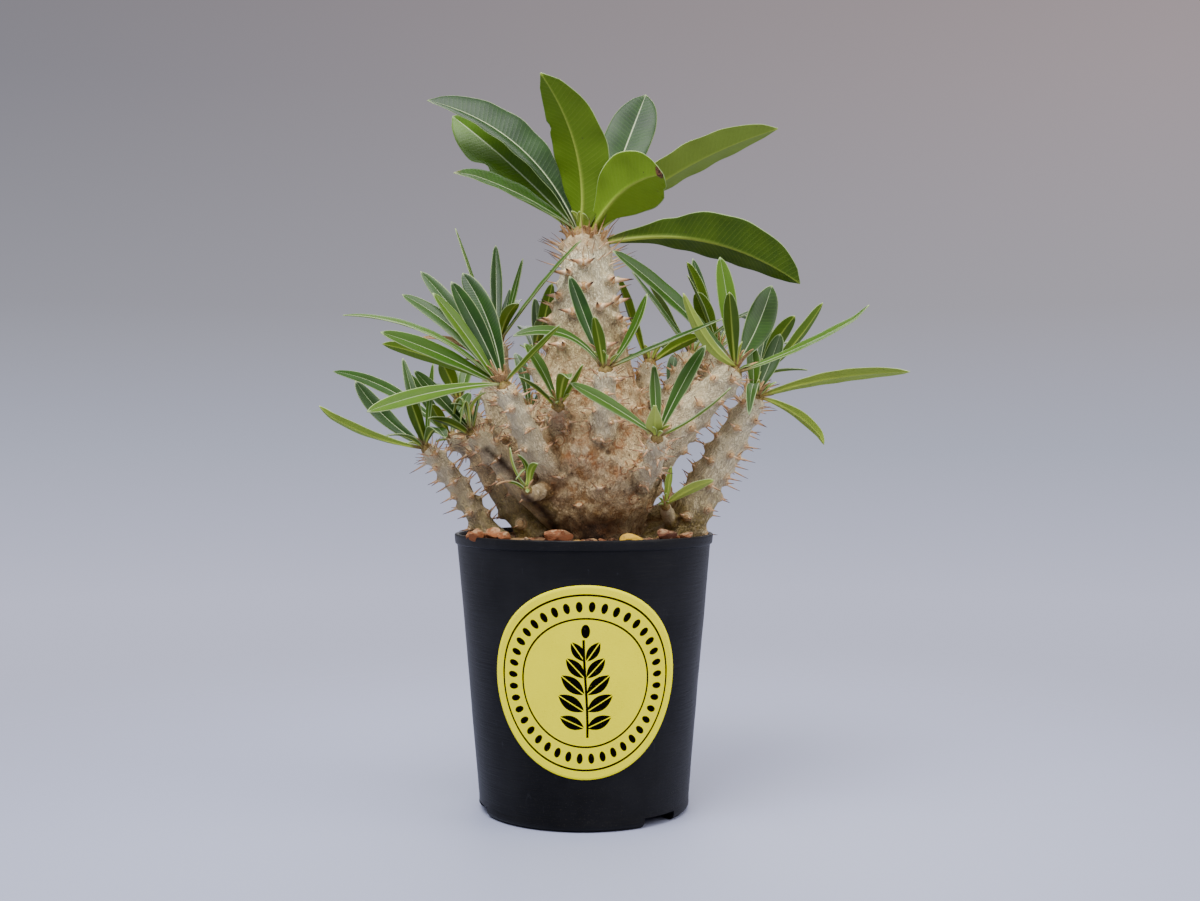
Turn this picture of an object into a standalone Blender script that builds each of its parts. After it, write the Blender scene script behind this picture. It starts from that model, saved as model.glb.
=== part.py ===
# Potted pachypodium: a swollen, spiny trunk with many short branches, each with
# a crown of leaves, in a tapered nursery pot with a round sticker on its front.
# Sizes are in millimetres and become metres through mm. The origin is the middle
# of the pot's foot on the ground, +Z is up and the sticker faces -Y.
import math

import bmesh
import bpy
from mathutils import Matrix, Vector

mm = 0.001
gap = 0.3                   # clearance between touching pieces

# Pot
pot_height = 127.4
rim_radius = 60.0
base_radius = 49.0          # outer, where the wall meets the rounded foot
foot_radius = 46.5
foot_height = 5.0           # the floor's underside is this far up
wall = 1.3
lip_height = 4.5
lip_proud = 1.0
notch_width = 19.0
notch_angles = (-45, 75, 195)
drain_radius = 4.5
drain_ring = 22.0
drain_count = 4

# Sticker
label_radius = 42.3
label_height = 66.0         # of its middle
label_across = 1.3
label_thickness = 0.6
label_lift = 0.5            # clears the wall's facets

# Soil
soil_top = 123.6
stone_count = 11
stem_clearance = 0.9

# Trunk: height and radius from the root up, and how far its middle leans across
trunk_rings = [(106, 13), (118, 17.5), (131, 20), (139, 25), (148, 29.5), (160, 31.5), (172, 30),
               (184, 26.5), (196, 22.5), (210, 18.8), (226, 16), (244, 13), (259, 11.4), (265, 9.6)]
trunk_lean = 4.5
trunk_sides = 18

# Leaves
blade_thickness = 0.7
blade_fold = 18.0           # degrees that each half rises from the midrib
blade_outlines = [          # widest blade for the outline, then share of width along it
    (6.0, [(0, .36), (.3, .85), (.65, 1), (1, .34)]),
    (12.6, [(0, .24), (.26, .64), (.55, 1), (.82, .84), (1, .3)]),
    (40.0, [(0, .17), (.16, .34), (.4, .84), (.62, 1), (.84, .76), (1, .2)])]

# Each limb: path of its middle from root to tip, radius at both ends, spine pairs,
# and the leaves of its crown as tip (across, back, up), width, arch and turn, where
# a positive arch bows the blade upwards and turn rolls its upper face to the front.
limbs = {
    "far_left": dict(
        path=[(0, 0, 118), (-27, -4, 117), (-42, -6, 125), (-52.5, -8, 141), (-62, -12, 155), (-71, -15, 166)],
        radius=(7.4, 3.8), spines=7, leaves=[
            (-120, -22, 185, 6.5, -.06, -35), (-106, -5, 198, 8, -.06, 62), (-85, 2, 209, 5, 0, 30),
            (-78, -34, 192, 6, 0, -40), (-69, -12, 206, 4, 0, 0), (-60, -44, 171, 7, .2, 0),
            (-87, -38, 172, 4, .1, 0)]),
    "left": dict(
        path=[(-20, 0, 124), (-39, 6, 150), (-50, 10, 165), (-62, 14, 171)],
        radius=(9.5, 4.5), spines=5, leaves=[
            (-85, 8, 203, 9, 0, 45), (-132.6, 80, 207.2, 6.5, .06, 25), (-71, -4, 187, 6.5, 0, -40),
            (-56, 30, 194, 6.5, .05, 20)]),
    "left_inner": dict(
        path=[(-12, -12, 136), (-29, -16, 152), (-41, -16, 165), (-50, -14, 172)],
        radius=(9, 4.6), spines=5, leaves=[
            (-77, -18, 202, 8, 0, 50), (-60, -20, 187, 4, .3, 0), (-47, -12, 193, 4, 0, 0),
            (-68, -38, 180, 6, .05, -20)]),
    "left_front": dict(
        path=[(-8, -16, 150), (-20, -28, 163), (-28, -38, 180), (-34, -42, 193)],
        radius=(6.6, 4.6), spines=8, leaves=[
            (-86, -58, 216, 9, .03, 58), (-89, -34, 213, 8, .03, -50), (-107, -30, 226, 7, .1, 18),
            (-83, -14, 237, 7.5, .06, 45), (-64, -56, 233, 8, .02, 62), (-74, -18, 247, 7.5, .03, 52),
            (-58, -38, 240, 8.5, .02, 62), (-54, -28, 245, 10, .07, 62), (-9, -72, 218, 4, 0, 0),
            (-85, -98, 181, 9, .03, 70)]),
    "small_front": dict(
        path=[(-8, -12, 171), (-10.5, -23, 178), (-11.2, -32, 185)],
        radius=(8.5, 4), spines=2, leaves=[
            (-26, -36, 213, 7, .04, 55), (-27, -60, 197, 4.5, .03, 10), (0, -48, 203, 5, -.04, 20),
            (-5, -78, 195, 6, .15, 0)]),
    "left_back": dict(
        path=[(-8, 8, 158), (-30, 14, 169), (-42, 19, 190), (-42, 22, 216)],
        radius=(11, 5), spines=4, leaves=[
            (-63, 28, 274, 5, 0, 0), (-45, 50, 269, 6, 0, 0), (-30, 26, 259, 4, 0, 0),
            (-37, 40, 246, 4, 0, 0), (-1, -32, 259, 6.5, .02, 55), (-31, -4, 234, 7, .1, 0),
            (-69, 58, 242, 7, .08, 0), (-34, 78, 244, 7, .1, 0)]),
    "inner_back": dict(
        path=[(-4, 12, 178), (-16, 26, 193), (-24, 36, 211)],
        radius=(7.5, 4.6), spines=2, leaves=[
            (-25, 46, 242, 7, 0, -30), (-16, 34, 248, 7, 0, -50), (-18, 8, 228, 7, .1, -20),
            (-35, 88, 230, 7, .12, 0)]),
    "middle_front": dict(
        path=[(8, -16, 160), (9, -31, 178), (10, -39, 200)],
        radius=(6.8, 4.5), spines=4, leaves=[
            (-30, -50, 215, 6.5, .19, 45), (-6, -34, 243, 7, 0, 60), (5, -56, 223, 5.5, .03, 0),
            (28, -44, 234, 6.5, -.06, 50), (59, -66, 221, 6, 0, 30)]),
    "middle_back": dict(
        path=[(10, 4, 174), (26, 11, 189), (31, 14, 206)],
        radius=(7, 4.6), spines=3, leaves=[
            (16, 22, 250, 9.5, 0, -50), (55, 8, 220, 7, .05, -50),
            (43, 60, 215, 6.5, .15, 0)]),
    "right_inner": dict(
        path=[(18, 10, 168), (41, 24, 190), (52, 30, 211)],
        radius=(8, 4.8), spines=3, leaves=[
            (23, 22, 252, 6, 0, 40), (32, 46, 249, 9.5, 0, -45), (87, 8, 234, 5, .08, 30),
            (71, 84, 224, 7, .15, 0)]),
    "right_back": dict(
        path=[(22, 18, 162), (51, 34, 186), (66, 42, 215)],
        radius=(8.5, 4.8), spines=4, leaves=[
            (51, 46, 260, 9, .02, -45), (55, 62, 264, 6.5, 0, 0), (50, 26, 251, 6.5, .02, 42),
            (55, 36, 244, 9.5, 0, -40), (85, 92, 236, 7, .12, 0)]),
    "right": dict(
        path=[(17, -4, 146), (36, -12, 168), (51, -15, 185), (68, -16, 201)],
        radius=(12.5, 6), spines=9, leaves=[
            (13, -42, 253, 11, .03, 58), (43, -56, 233, 5.5, -.1, -50), (62.5, -12, 254.5, 8.5, .02, 55),
            (64, -42, 235, 7, 0, 0), (89, 10, 244, 14, -.05, 55), (126, -44, 227.5, 7.5, -.03, 38)]),
    "right_low_back": dict(
        path=[(24, 12, 128), (58, 20, 148), (76, 27, 175), (85, 34, 201)],
        radius=(8, 4.6), spines=5, leaves=[
            (102, 24, 231, 8, .05, -55), (118, 40, 239, 8, -.04, -50), (109, 30, 205, 6, .05, 0),
            (98, 64, 243, 7, .05, 0), (110, 98, 222, 7, .1, 0)]),
    "far_right": dict(
        path=[(10, 2, 119), (41, 4, 124), (54.5, 0, 146), (65.5, -3, 167), (79, -4, 189)],
        radius=(12.4, 5.4), spines=10, leaves=[
            (134.5, -80, 198, 7.5, .03, -42), (111, -14, 169, 6.5, .08, -50), (78, -2, 215, 7, .05, 0),
            (93, 10, 221, 8, -.03, 50), (72, -48, 181, 5, .2, 0)]),
    "low_front": dict(
        path=[(24, -14, 148), (30, -35, 158), (32, -51, 170.5)],
        radius=(5.6, 3.6), spines=4, leaves=[
            (-5, -66, 194, 7, .02, 60), (31, -44, 203, 5, 0, 10), (30.5, -66, 184.5, 6.2, .05, 0),
            (53, -50, 211, 7, .02, 60), (62, -70, 192, 4, -.05, 12)]),
    "left_low_back": dict(
        path=[(-14, 22, 134), (-42, 38, 166), (-58, 40, 181), (-62, 40, 189)],
        radius=(8.5, 4.6), spines=4, leaves=[
            (-70, 28, 209, 8, .04, -40), (-58, 50, 210, 7, .02, 0), (-82, 60, 199, 6.5, .1, 0),
            (-73, 92, 203, 7, .15, 0)]),
    "back": dict(
        path=[(4, 18, 168), (4, 46, 186), (3, 62, 200)],
        radius=(9, 5), spines=4, leaves=[
            (-14, 92, 231, 8, .1, 0), (18, 96, 234, 8, .1, 0), (2, 80, 232, 8, .05, 0),
            (-16, 70, 222, 6.5, .1, 0), (28, 72, 216, 6.5, .1, 0)]),
    "back_left": dict(
        path=[(-6, 20, 150), (-23, 58, 171), (-29, 76, 186)],
        radius=(9, 4.8), spines=5, leaves=[
            (-56, 98, 203, 7, .1, 0), (-38, 98, 218, 7, .1, 0), (-12, 98, 206, 7, .1, 0),
            (-50, 74, 200, 6.5, .2, 0)]),
    "back_right": dict(
        path=[(14, 20, 152), (38, 56, 173), (43, 72, 189)],
        radius=(9, 4.8), spines=5, leaves=[
            (26, 98, 208, 7, .1, 0), (48, 98, 218, 7, .1, 0), (74, 92, 203, 7, .15, 0),
            (62, 66, 208, 6.5, .1, 0)]),
    "sprout_right": dict(
        path=[(42, 0, 131), (39, -9, 136), (37.5, -15, 140)],
        radius=(4.5, 2.6), spines=0, leaves=[
            (58.5, -26, 152.5, 5.5, .03, -45), (39.6, -22, 158.7, 3.5, 0, 0)]),
    "sprout_left": dict(
        path=[(-14, -16, 150), (-23, -34, 146), (-24, -43, 148)],
        radius=(5, 2.6), spines=0, leaves=[
            (-28, -50, 164, 3.5, 0, 10), (-37, -54, 151, 3.5, .15, 0), (-19, -56, 160, 3.5, 0, -20)]),
}
top_leaves = [
    (-75, 15, 333, 24, .09, 38), (-65, 34, 330, 26, .02, 68), (-59, -14, 294, 17, .05, 34),
    (-19, -30, 334, 30, .09, 0), (30, 32, 340, 24, 0, 30), (35, -44, 286, 30, .12, -50),
    (90, -5, 315, 24, .06, -40), (99, -14, 242, 27, .1, -45), (-13, 62, 304, 20, .1, 0),
    (19, 66, 300, 20, .1, 0)]


def material(name, colour, roughness, metallic=0.0):
    shade = bpy.data.materials.new(name)
    shade.use_nodes = True
    surface = shade.node_tree.nodes["Principled BSDF"]
    surface.inputs["Base Color"].default_value = (*colour, 1)
    surface.inputs["Roughness"].default_value = roughness
    surface.inputs["Metallic"].default_value = metallic
    shade.diffuse_color = (*colour, 1)
    return shade


def collection(name):
    group = bpy.data.collections.new(name)
    bpy.context.scene.collection.children.link(group)
    return group


def add_object(name, data, group, shade=None):
    item = bpy.data.objects.new(name, data)
    group.objects.link(item)
    if shade:
        data.materials.append(shade)
    return item


def as_mesh(item, group, name):
    """Swap an object with modifiers, or a curve, for a plain mesh with welded caps."""
    bpy.context.view_layer.update()
    graph = bpy.context.evaluated_depsgraph_get()
    data = bpy.data.meshes.new_from_object(item.evaluated_get(graph))
    work = bmesh.new()
    work.from_mesh(data)
    bmesh.ops.remove_doubles(work, verts=work.verts, dist=0.00001)
    bmesh.ops.recalc_face_normals(work, faces=work.faces)
    work.to_mesh(data)
    work.free()
    place = item.matrix_world.copy()
    bpy.data.objects.remove(item)
    result = add_object(name, data, group)
    result.matrix_world = place
    return result


def revolve(name, profile, group, steps, closed=False):
    """Turn a profile of (radius, height), which runs down its outer side."""
    work = bmesh.new()
    points = [work.verts.new((radius * mm, 0, height * mm)) for radius, height in profile]
    for start, end in zip(points, points[1:]):
        work.edges.new((start, end))
    if closed:
        work.edges.new((points[-1], points[0]))
    data = bpy.data.meshes.new(name)
    work.to_mesh(data)
    work.free()
    item = add_object(name, data, group)
    screw = item.modifiers.new("Turn", "SCREW")
    screw.steps = screw.render_steps = steps
    screw.use_merge_vertices = True
    screw.merge_threshold = 0.00001
    return item


def tube(name, points, radii, group):
    """A tapered round limb with closed ends along points in millimetres."""
    curve = bpy.data.curves.new(name, "CURVE")
    curve.dimensions = "3D"
    curve.bevel_depth = mm
    curve.bevel_resolution = 2
    curve.use_fill_caps = True
    line = curve.splines.new("POLY")
    line.points.add(len(points) - 1)
    for point, place, radius in zip(line.points, points, radii):
        point.co = (*(Vector(place) * mm), 1)
        point.radius = radius
    return as_mesh(add_object(name, curve, group), group, name)


def join(base, pieces, solver="EXACT"):
    """Union every object of a collection with base and drop the collection."""
    union = base.modifiers.new("Join", "BOOLEAN")
    union.operation = "UNION"
    union.operand_type = "COLLECTION"
    union.collection = pieces
    union.solver = solver
    bpy.context.view_layer.update()
    graph = bpy.context.evaluated_depsgraph_get()
    data = bpy.data.meshes.new_from_object(base.evaluated_get(graph))
    work = bmesh.new()
    work.from_mesh(data)
    bmesh.ops.triangulate(work, faces=work.faces, ngon_method="EAR_CLIP")
    work.to_mesh(data)
    work.free()
    base.modifiers.clear()
    base.data = data
    for item in list(pieces.objects):
        bpy.data.objects.remove(item)
    bpy.data.collections.remove(pieces)


def cut(base, cutter):
    cutter.hide_render = True
    cutter.display_type = "WIRE"
    hole = base.modifiers.new("Cut", "BOOLEAN")
    hole.operation = "DIFFERENCE"
    hole.object = cutter
    hole.solver = "EXACT"


def smooth_path(points, count):
    """Points evenly spaced in parameter on a curve through the given ones."""
    points = [Vector(point) for point in points]
    tangents = [(points[min(i + 1, len(points) - 1)] - points[max(i - 1, 0)]) / 2
                for i in range(len(points))]
    spans = len(points) - 1
    line = []
    for k in range(count + 1):
        place = k / count * spans
        i = min(int(place), spans - 1)
        t = place - i
        start, end = points[i], points[i + 1]
        first, last = start + tangents[i] / 3, end - tangents[i + 1] / 3
        line.append((1 - t) ** 3 * start + 3 * t * (1 - t) ** 2 * first
                    + 3 * t * t * (1 - t) * last + t ** 3 * end)
    return line


def trunk_middle(height):
    """The trunk's middle moves to the right as it swells towards the ground."""
    t = min(max((212 - height) / 70, 0), 1)
    return 1.4 + trunk_lean * t * t * (3 - 2 * t)


def make_pot(group):
    inner_rim = rim_radius - wall
    profile = [(rim_radius - 0.4, pot_height), (rim_radius, pot_height - 0.5),
               (rim_radius - 0.3, pot_height - lip_height),
               (rim_radius - 0.3 - lip_proud, pot_height - lip_height - 1),
               (base_radius, 9), (base_radius - 0.8, 4), (foot_radius, 0), (foot_radius - 3, 0),
               (foot_radius - 4, foot_height), (0, foot_height), (0, foot_height + wall),
               (base_radius - wall - 2, foot_height + wall), (base_radius - wall, 10),
               (inner_rim - lip_proud, pot_height - lip_height - 1),
               (inner_rim - 0.6, pot_height)]
    pot = revolve("pot", profile, group, 36, closed=True)
    pot.data.materials.append(material("black_plastic", (0.012, 0.013, 0.016), 0.42))
    for angle in notch_angles:
        work = bmesh.new()
        bmesh.ops.create_cube(work, size=1)
        turn = Matrix.Rotation(math.radians(angle), 4, "Z")
        place = Matrix.Translation((base_radius * mm, 0, 0))
        size = Matrix.Diagonal((20 * mm, notch_width * mm, 2 * (foot_height - 0.6) * mm, 1))
        work.transform(turn @ place @ size)
        data = bpy.data.meshes.new("notch")
        work.to_mesh(data)
        work.free()
        cut(pot, add_object("notch", data, cutters))
    for k in range(drain_count):
        angle = 2 * math.pi * k / drain_count
        work = bmesh.new()
        bmesh.ops.create_cone(work, cap_ends=True, segments=8, radius1=drain_radius * mm,
                              radius2=drain_radius * mm, depth=10 * mm)
        work.transform(Matrix.Translation((drain_ring * mm * math.cos(angle),
                                           drain_ring * mm * math.sin(angle), foot_height * mm)))
        data = bpy.data.meshes.new("drain")
        work.to_mesh(data)
        work.free()
        cut(pot, add_object("drain", data, cutters))
    return pot


def wall_radius(height):
    """Outer radius of the pot's plain wall at a height."""
    top = pot_height - lip_height - 1
    return base_radius + (rim_radius - 0.3 - lip_proud - base_radius) * (height - 9) / (top - 9)


def make_label(group):
    """A round sticker wrapped on the tapered wall."""
    segments, rings = 26, 4
    work = bmesh.new()
    middle = work.verts.new((0, 0, 0))
    circles = []
    for ring in range(1, rings + 1):
        radius = label_radius * ring / rings
        circles.append([work.verts.new((radius * math.cos(2 * math.pi * k / segments), 0,
                                        radius * math.sin(2 * math.pi * k / segments)))
                        for k in range(segments)])
    for k in range(segments):
        after = (k + 1) % segments
        work.faces.new((middle, circles[0][k], circles[0][after]))
        for inner, outer in zip(circles, circles[1:]):
            work.faces.new((inner[k], outer[k], outer[after], inner[after]))
    for vert in work.verts:
        height = label_height + vert.co.z
        radius = wall_radius(height) + label_lift
        angle = (label_across + vert.co.x) / wall_radius(label_height)
        vert.co = Vector((radius * math.sin(angle), -radius * math.cos(angle), height)) * mm
    data = bpy.data.meshes.new("label")
    work.to_mesh(data)
    work.free()
    label = add_object("label", data, group, material("yellow_sticker", (0.73, 0.65, 0.09), 0.5))
    solid = label.modifiers.new("Thickness", "SOLIDIFY")
    solid.thickness = label_thickness * mm
    solid.offset = 1
    return label


def make_trunk(group, extra=0.0):
    """The swollen trunk, with a few soft lumps round its belly."""
    profile = [(0, trunk_rings[-1][0])]
    profile += [(radius + extra, height) for height, radius in reversed(trunk_rings)]
    profile[-1] = (trunk_rings[0][1] + extra, trunk_rings[0][0] - extra)
    profile += [(0, trunk_rings[0][0] - extra)]
    trunk = as_mesh(revolve("trunk", profile, group, trunk_sides), group, "trunk")
    for vert in trunk.data.vertices:
        x, y, z = vert.co / mm
        angle = math.atan2(y, x)
        swell = math.exp(-((z - 158) / 30) ** 2)
        lump = 1.3 * math.sin(3 * angle + z / 9) + 0.9 * math.sin(5 * angle - z / 6 + 1)
        reach = math.hypot(x, y)
        scale = 1 + swell * lump / reach if reach > 1 else 1
        vert.co = Vector((x * scale + trunk_middle(z), y * scale, z)) * mm
    return trunk


def limb_line(limb):
    count = 2 * (len(limb["path"]) - 1)
    line = smooth_path(limb["path"], count)
    foot, tip = limb["radius"]
    radii = [foot + (tip - foot) * (k / count) ** 0.8 for k in range(count + 1)]
    return line, radii


def make_limb(key, group, extra=0.0):
    """One tapered limb; extra makes it stouter for the soil's hole."""
    line, radii = limb_line(limbs[key])
    line[0] += (line[0] - line[1]).normalized() * extra
    return tube(key, line, [radius + extra for radius in radii], group)


def spine(place, out, length, radius, pieces):
    """A three-sided thorn whose root is sunk in the bark."""
    sink = 1.6
    work = bmesh.new()
    bmesh.ops.create_cone(work, cap_ends=True, segments=3, radius1=radius * mm, radius2=0,
                          depth=(length + sink) * mm)
    shift = Matrix.Translation((0, 0, ((length + sink) / 2 - sink) * mm))
    turn = out.to_track_quat("Z", "Y").to_matrix().to_4x4()
    work.transform(Matrix.Translation(place * mm) @ turn @ shift)
    data = bpy.data.meshes.new("thorn")
    work.to_mesh(data)
    work.free()
    add_object("thorn", data, pieces)


def spine_pair(place, out, along, length, radius, pieces):
    """Two thorns that spread sideways from one knob, tilted a little upwards."""
    side = out.cross(along).normalized()
    for sign in (-1, 1):
        aim = (out + 0.55 * sign * side + 0.2 * along).normalized()
        spine(place + side * sign * radius * 0.8, aim, length, radius, pieces)


golden = math.radians(137.5)


def trunk_spines(pieces):
    """Pairs on a spiral up the trunk, longer and closer towards its top."""
    count = 28
    for k in range(count):
        t = k / (count - 1)
        height = 150 + 110 * t ** 0.9
        radius = next(r0 + (r1 - r0) * (height - h0) / (h1 - h0)
                      for (h0, r0), (h1, r1) in zip(trunk_rings, trunk_rings[1:]) if height <= h1)
        angle = k * golden + 0.4
        out = Vector((math.cos(angle), math.sin(angle), 0))
        place = out * radius + Vector((trunk_middle(height), 0, height))
        aim = (out + Vector((0, 0, 0.15 + 0.5 * max(t - 0.8, 0)))).normalized()
        spine_pair(place, aim, Vector((0, 0, 1)), 5.5 + 4.5 * t, 0.8, pieces)


def limb_spines(limb, first_angle, pieces):
    line, radii = limb_line(limb)
    last = len(line) - 1
    for k in range(limb["spines"]):
        t = 0.34 + 0.54 * (k + 0.5) / limb["spines"]
        place = t * last
        i = int(place)
        here = line[i].lerp(line[i + 1], place - i)
        radius = radii[i] + (radii[i + 1] - radii[i]) * (place - i)
        along = (line[i + 1] - line[i]).normalized()
        side = along.cross(Vector((0, 1, 0))).normalized()
        angle = first_angle + k * golden
        out = Matrix.Rotation(angle, 3, along) @ side
        if here.z > soil_top + 8:
            spine_pair(here + out * radius, out, along, 4.2, 0.6, pieces)


def make_wood(group):
    wood = make_trunk(group)
    wood.name = "wood"
    pieces = collection("limb_pieces")
    for key in limbs:
        make_limb(key, pieces)
    join(wood, pieces)
    pieces = collection("thorn_pieces")
    trunk_spines(pieces)
    for number, limb in enumerate(limbs.values()):
        limb_spines(limb, number * 1.3, pieces)
    join(wood, pieces, "MANIFOLD")
    wood.data.materials.clear()
    wood.data.materials.append(material("bark", (0.33, 0.27, 0.2), 0.8))
    return wood


def make_blade(seat, tip, width, arch, turn, pieces):
    """A thin blade folded along its midrib, on a curve from its seat to its tip."""
    start, end = Vector(seat), Vector(tip)
    chord = end - start
    level = Vector((-chord.y, chord.x, 0)).normalized()
    up = level.cross(chord).normalized()
    up = -up if up.z < 0 else up
    control = (start + end) / 2 + 2 * arch * chord.length * up
    roll = math.radians(turn) * (1 if chord.x > 0 else -1)
    half = width / 2
    work = bmesh.new()
    rows = []
    outline = next(stations for widest, stations in blade_outlines if width <= widest)
    for t, share in outline:
        place = (1 - t) ** 2 * start + 2 * t * (1 - t) * control + t * t * end
        along = (2 * (1 - t) * (control - start) + 2 * t * (end - control)).normalized()
        side = Matrix.Rotation(roll, 3, along) @ (level - level.dot(along) * along).normalized()
        face = along.cross(side)
        face = -face if face.dot(Matrix.Rotation(roll, 3, along) @ up) < 0 else face
        reach = half * max(share, 1.6 / width)
        rise = reach * math.tan(math.radians(blade_fold))
        rows.append([work.verts.new((place + side * reach * s + face * rise * abs(s)) * mm)
                     for s in (-1, 0, 1)])
    for low, high in zip(rows, rows[1:]):
        for a in (0, 1):
            if a == 0:
                work.faces.new((low[0], low[1], high[1]))
                work.faces.new((low[0], high[1], high[0]))
            else:
                work.faces.new((low[1], low[2], high[1]))
                work.faces.new((low[2], high[2], high[1]))
    data = bpy.data.meshes.new("blade")
    work.to_mesh(data)
    work.free()
    blade = add_object("blade", data, pieces)
    solid = blade.modifiers.new("Thickness", "SOLIDIFY")
    solid.thickness = blade_thickness * mm
    solid.offset = 0
    as_mesh(blade, pieces, "blade")


def make_crown(name, tip, along, radius, leaves, group, shade):
    """Leaves round a small bud that sits on the end of a limb."""
    work = bmesh.new()
    bmesh.ops.create_cone(work, cap_ends=True, segments=6, radius1=radius * 0.85 * mm,
                          radius2=radius * 0.35 * mm, depth=4.6 * mm)
    turn = along.to_track_quat("Z", "Y").to_matrix().to_4x4()
    work.transform(Matrix.Translation((tip + along * (gap + 2.3)) * mm) @ turn)
    data = bpy.data.meshes.new(name)
    work.to_mesh(data)
    work.free()
    crown = add_object(name, data, group)
    pieces = collection("blade_pieces")
    seat = tip + along * (gap + 2.6)
    for x, y, z, width, arch, roll in leaves:
        reach = Vector((x, y, z)) - seat
        reach = (reach - reach.dot(along) * along).normalized() * radius * 0.45
        make_blade(seat + reach, (x, y, z), width, arch, roll, pieces)
    join(crown, pieces)
    crown.data.materials.clear()
    crown.data.materials.append(shade)
    return crown


def make_soil(group):
    """Soil that fills the pot, with chips on top and a plain hole for the plant."""
    top_radius = wall_radius(soil_top) - wall - lip_proud - gap
    base = foot_height + wall + gap
    soil = revolve("soil", [(0, soil_top), (top_radius, soil_top - 0.8), (wall_radius(12) - wall - gap - 0.3, 12),
                            (base_radius - wall - 3, base), (0, base)], group, 40)
    soil = as_mesh(soil, group, "soil")
    pieces = collection("stone_pieces")
    for k in range(stone_count):
        angle = k * golden
        ring = 36 + 17 * ((k * 0.618) % 1)
        size = 2.2 + 2.6 * ((k * 0.37) % 1)
        work = bmesh.new()
        bmesh.ops.create_icosphere(work, subdivisions=1, radius=mm)
        spin = Matrix.Rotation(k * 1.7, 4, "Z") @ Matrix.Diagonal((size * 1.3, size, size * 0.7, 1))
        work.transform(Matrix.Translation(Vector((ring * math.cos(angle), ring * math.sin(angle),
                                                  soil_top + 0.2)) * mm) @ spin)
        data = bpy.data.meshes.new("stone")
        work.to_mesh(data)
        work.free()
        add_object("stone", data, pieces)
    join(soil, pieces)
    soil.data.materials.clear()
    soil.data.materials.append(material("soil", (0.05, 0.032, 0.02), 0.95))
    cut(soil, make_trunk(cutters, stem_clearance))
    for key, limb in limbs.items():
        if limb["path"][0][2] - limb["radius"][0] < soil_top + 2:
            cut(soil, make_limb(key, cutters, stem_clearance))
    return soil


for item in list(bpy.data.objects):
    bpy.data.objects.remove(item)
plant = collection("potted_pachypodium")
cutters = collection("cutters")
make_pot(plant)
make_label(plant)
make_soil(plant)
make_wood(plant)
leaf_green = material("leaf_green", (0.06, 0.16, 0.05), 0.45)
make_crown("leaves_top", Vector((1.4, 0, trunk_rings[-1][0])), Vector((0, 0, 1)), trunk_rings[-1][1],
           top_leaves, plant, leaf_green)
for key, limb in limbs.items():
    line, radii = limb_line(limb)
    along = (line[-1] - line[-2]).normalized()
    make_crown("leaves_" + key, line[-1], along, radii[-1], limb["leaves"], plant, leaf_green)
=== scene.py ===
# Looks of a potted pachypodium: bark with paired thorns, crowns of folded leaves,
# potting mix with chips, and a black nursery pot with a round yellow sticker.
# Sizes are in millimetres and become metres through mm, in the frame of the CAD.
import math
import random

import bmesh
import bpy
import numpy as np
from mathutils import Matrix, Vector, noise


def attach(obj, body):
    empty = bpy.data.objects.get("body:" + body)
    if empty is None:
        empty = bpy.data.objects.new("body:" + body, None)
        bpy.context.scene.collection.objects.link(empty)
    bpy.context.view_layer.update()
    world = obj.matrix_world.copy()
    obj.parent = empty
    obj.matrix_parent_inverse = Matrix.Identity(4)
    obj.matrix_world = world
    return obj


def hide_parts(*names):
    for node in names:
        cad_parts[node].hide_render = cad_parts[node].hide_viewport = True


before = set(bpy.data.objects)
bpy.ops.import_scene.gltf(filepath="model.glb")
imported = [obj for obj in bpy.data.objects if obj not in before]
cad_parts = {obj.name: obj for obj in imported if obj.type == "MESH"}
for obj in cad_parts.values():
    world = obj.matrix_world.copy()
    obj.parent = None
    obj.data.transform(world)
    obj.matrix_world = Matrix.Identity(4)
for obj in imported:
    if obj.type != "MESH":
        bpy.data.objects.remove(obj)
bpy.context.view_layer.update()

mm = 0.001
golden = math.radians(137.5)
tau = 2 * math.pi


# Node trees

def linear(colour):  # whole screen values, 0 to 255, as a shader takes them; floats stay
    return tuple(c if isinstance(c, float) else c / 255 / 12.92 if c < 10.3
                 else ((c / 255 + 0.055) / 1.055) ** 2.4 for c in colour)


class Value:  # a node's output that Python's operators turn into Math nodes
    def __init__(self, nodes, socket):
        self.nodes, self.socket = nodes, socket

    def math(self, kind, *others):
        return self.nodes.maths(kind, self, *others)

    def __add__(self, other): return self.math("ADD", other)
    def __sub__(self, other): return self.math("SUBTRACT", other)
    def __mul__(self, other): return self.math("MULTIPLY", other)
    def __truediv__(self, other): return self.math("DIVIDE", other)
    def __pow__(self, other): return self.math("POWER", other)
    def __rsub__(self, other): return self.nodes.maths("SUBTRACT", other, self)
    __radd__, __rmul__ = __add__, __mul__

    def abs(self): return self.math("ABSOLUTE")
    def sin(self): return self.math("SINE")
    def cos(self): return self.math("COSINE")
    def max(self, other): return self.math("MAXIMUM", other)
    def min(self, other): return self.math("MINIMUM", other)

    def ramp(self, low, high, kind="SMOOTHSTEP"):  # 0 at low and 1 at high
        return self.nodes.node("ShaderNodeMapRange", dict(interpolation_type=kind),
                               {"Value": self, "From Min": low, "From Max": high})


def pick(sockets, name):  # by number, or the first open socket, of that name if one is given
    if isinstance(name, int):
        return sockets[name]
    return next(s for s in sockets if s.enabled and name in (None, s.name))


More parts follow.
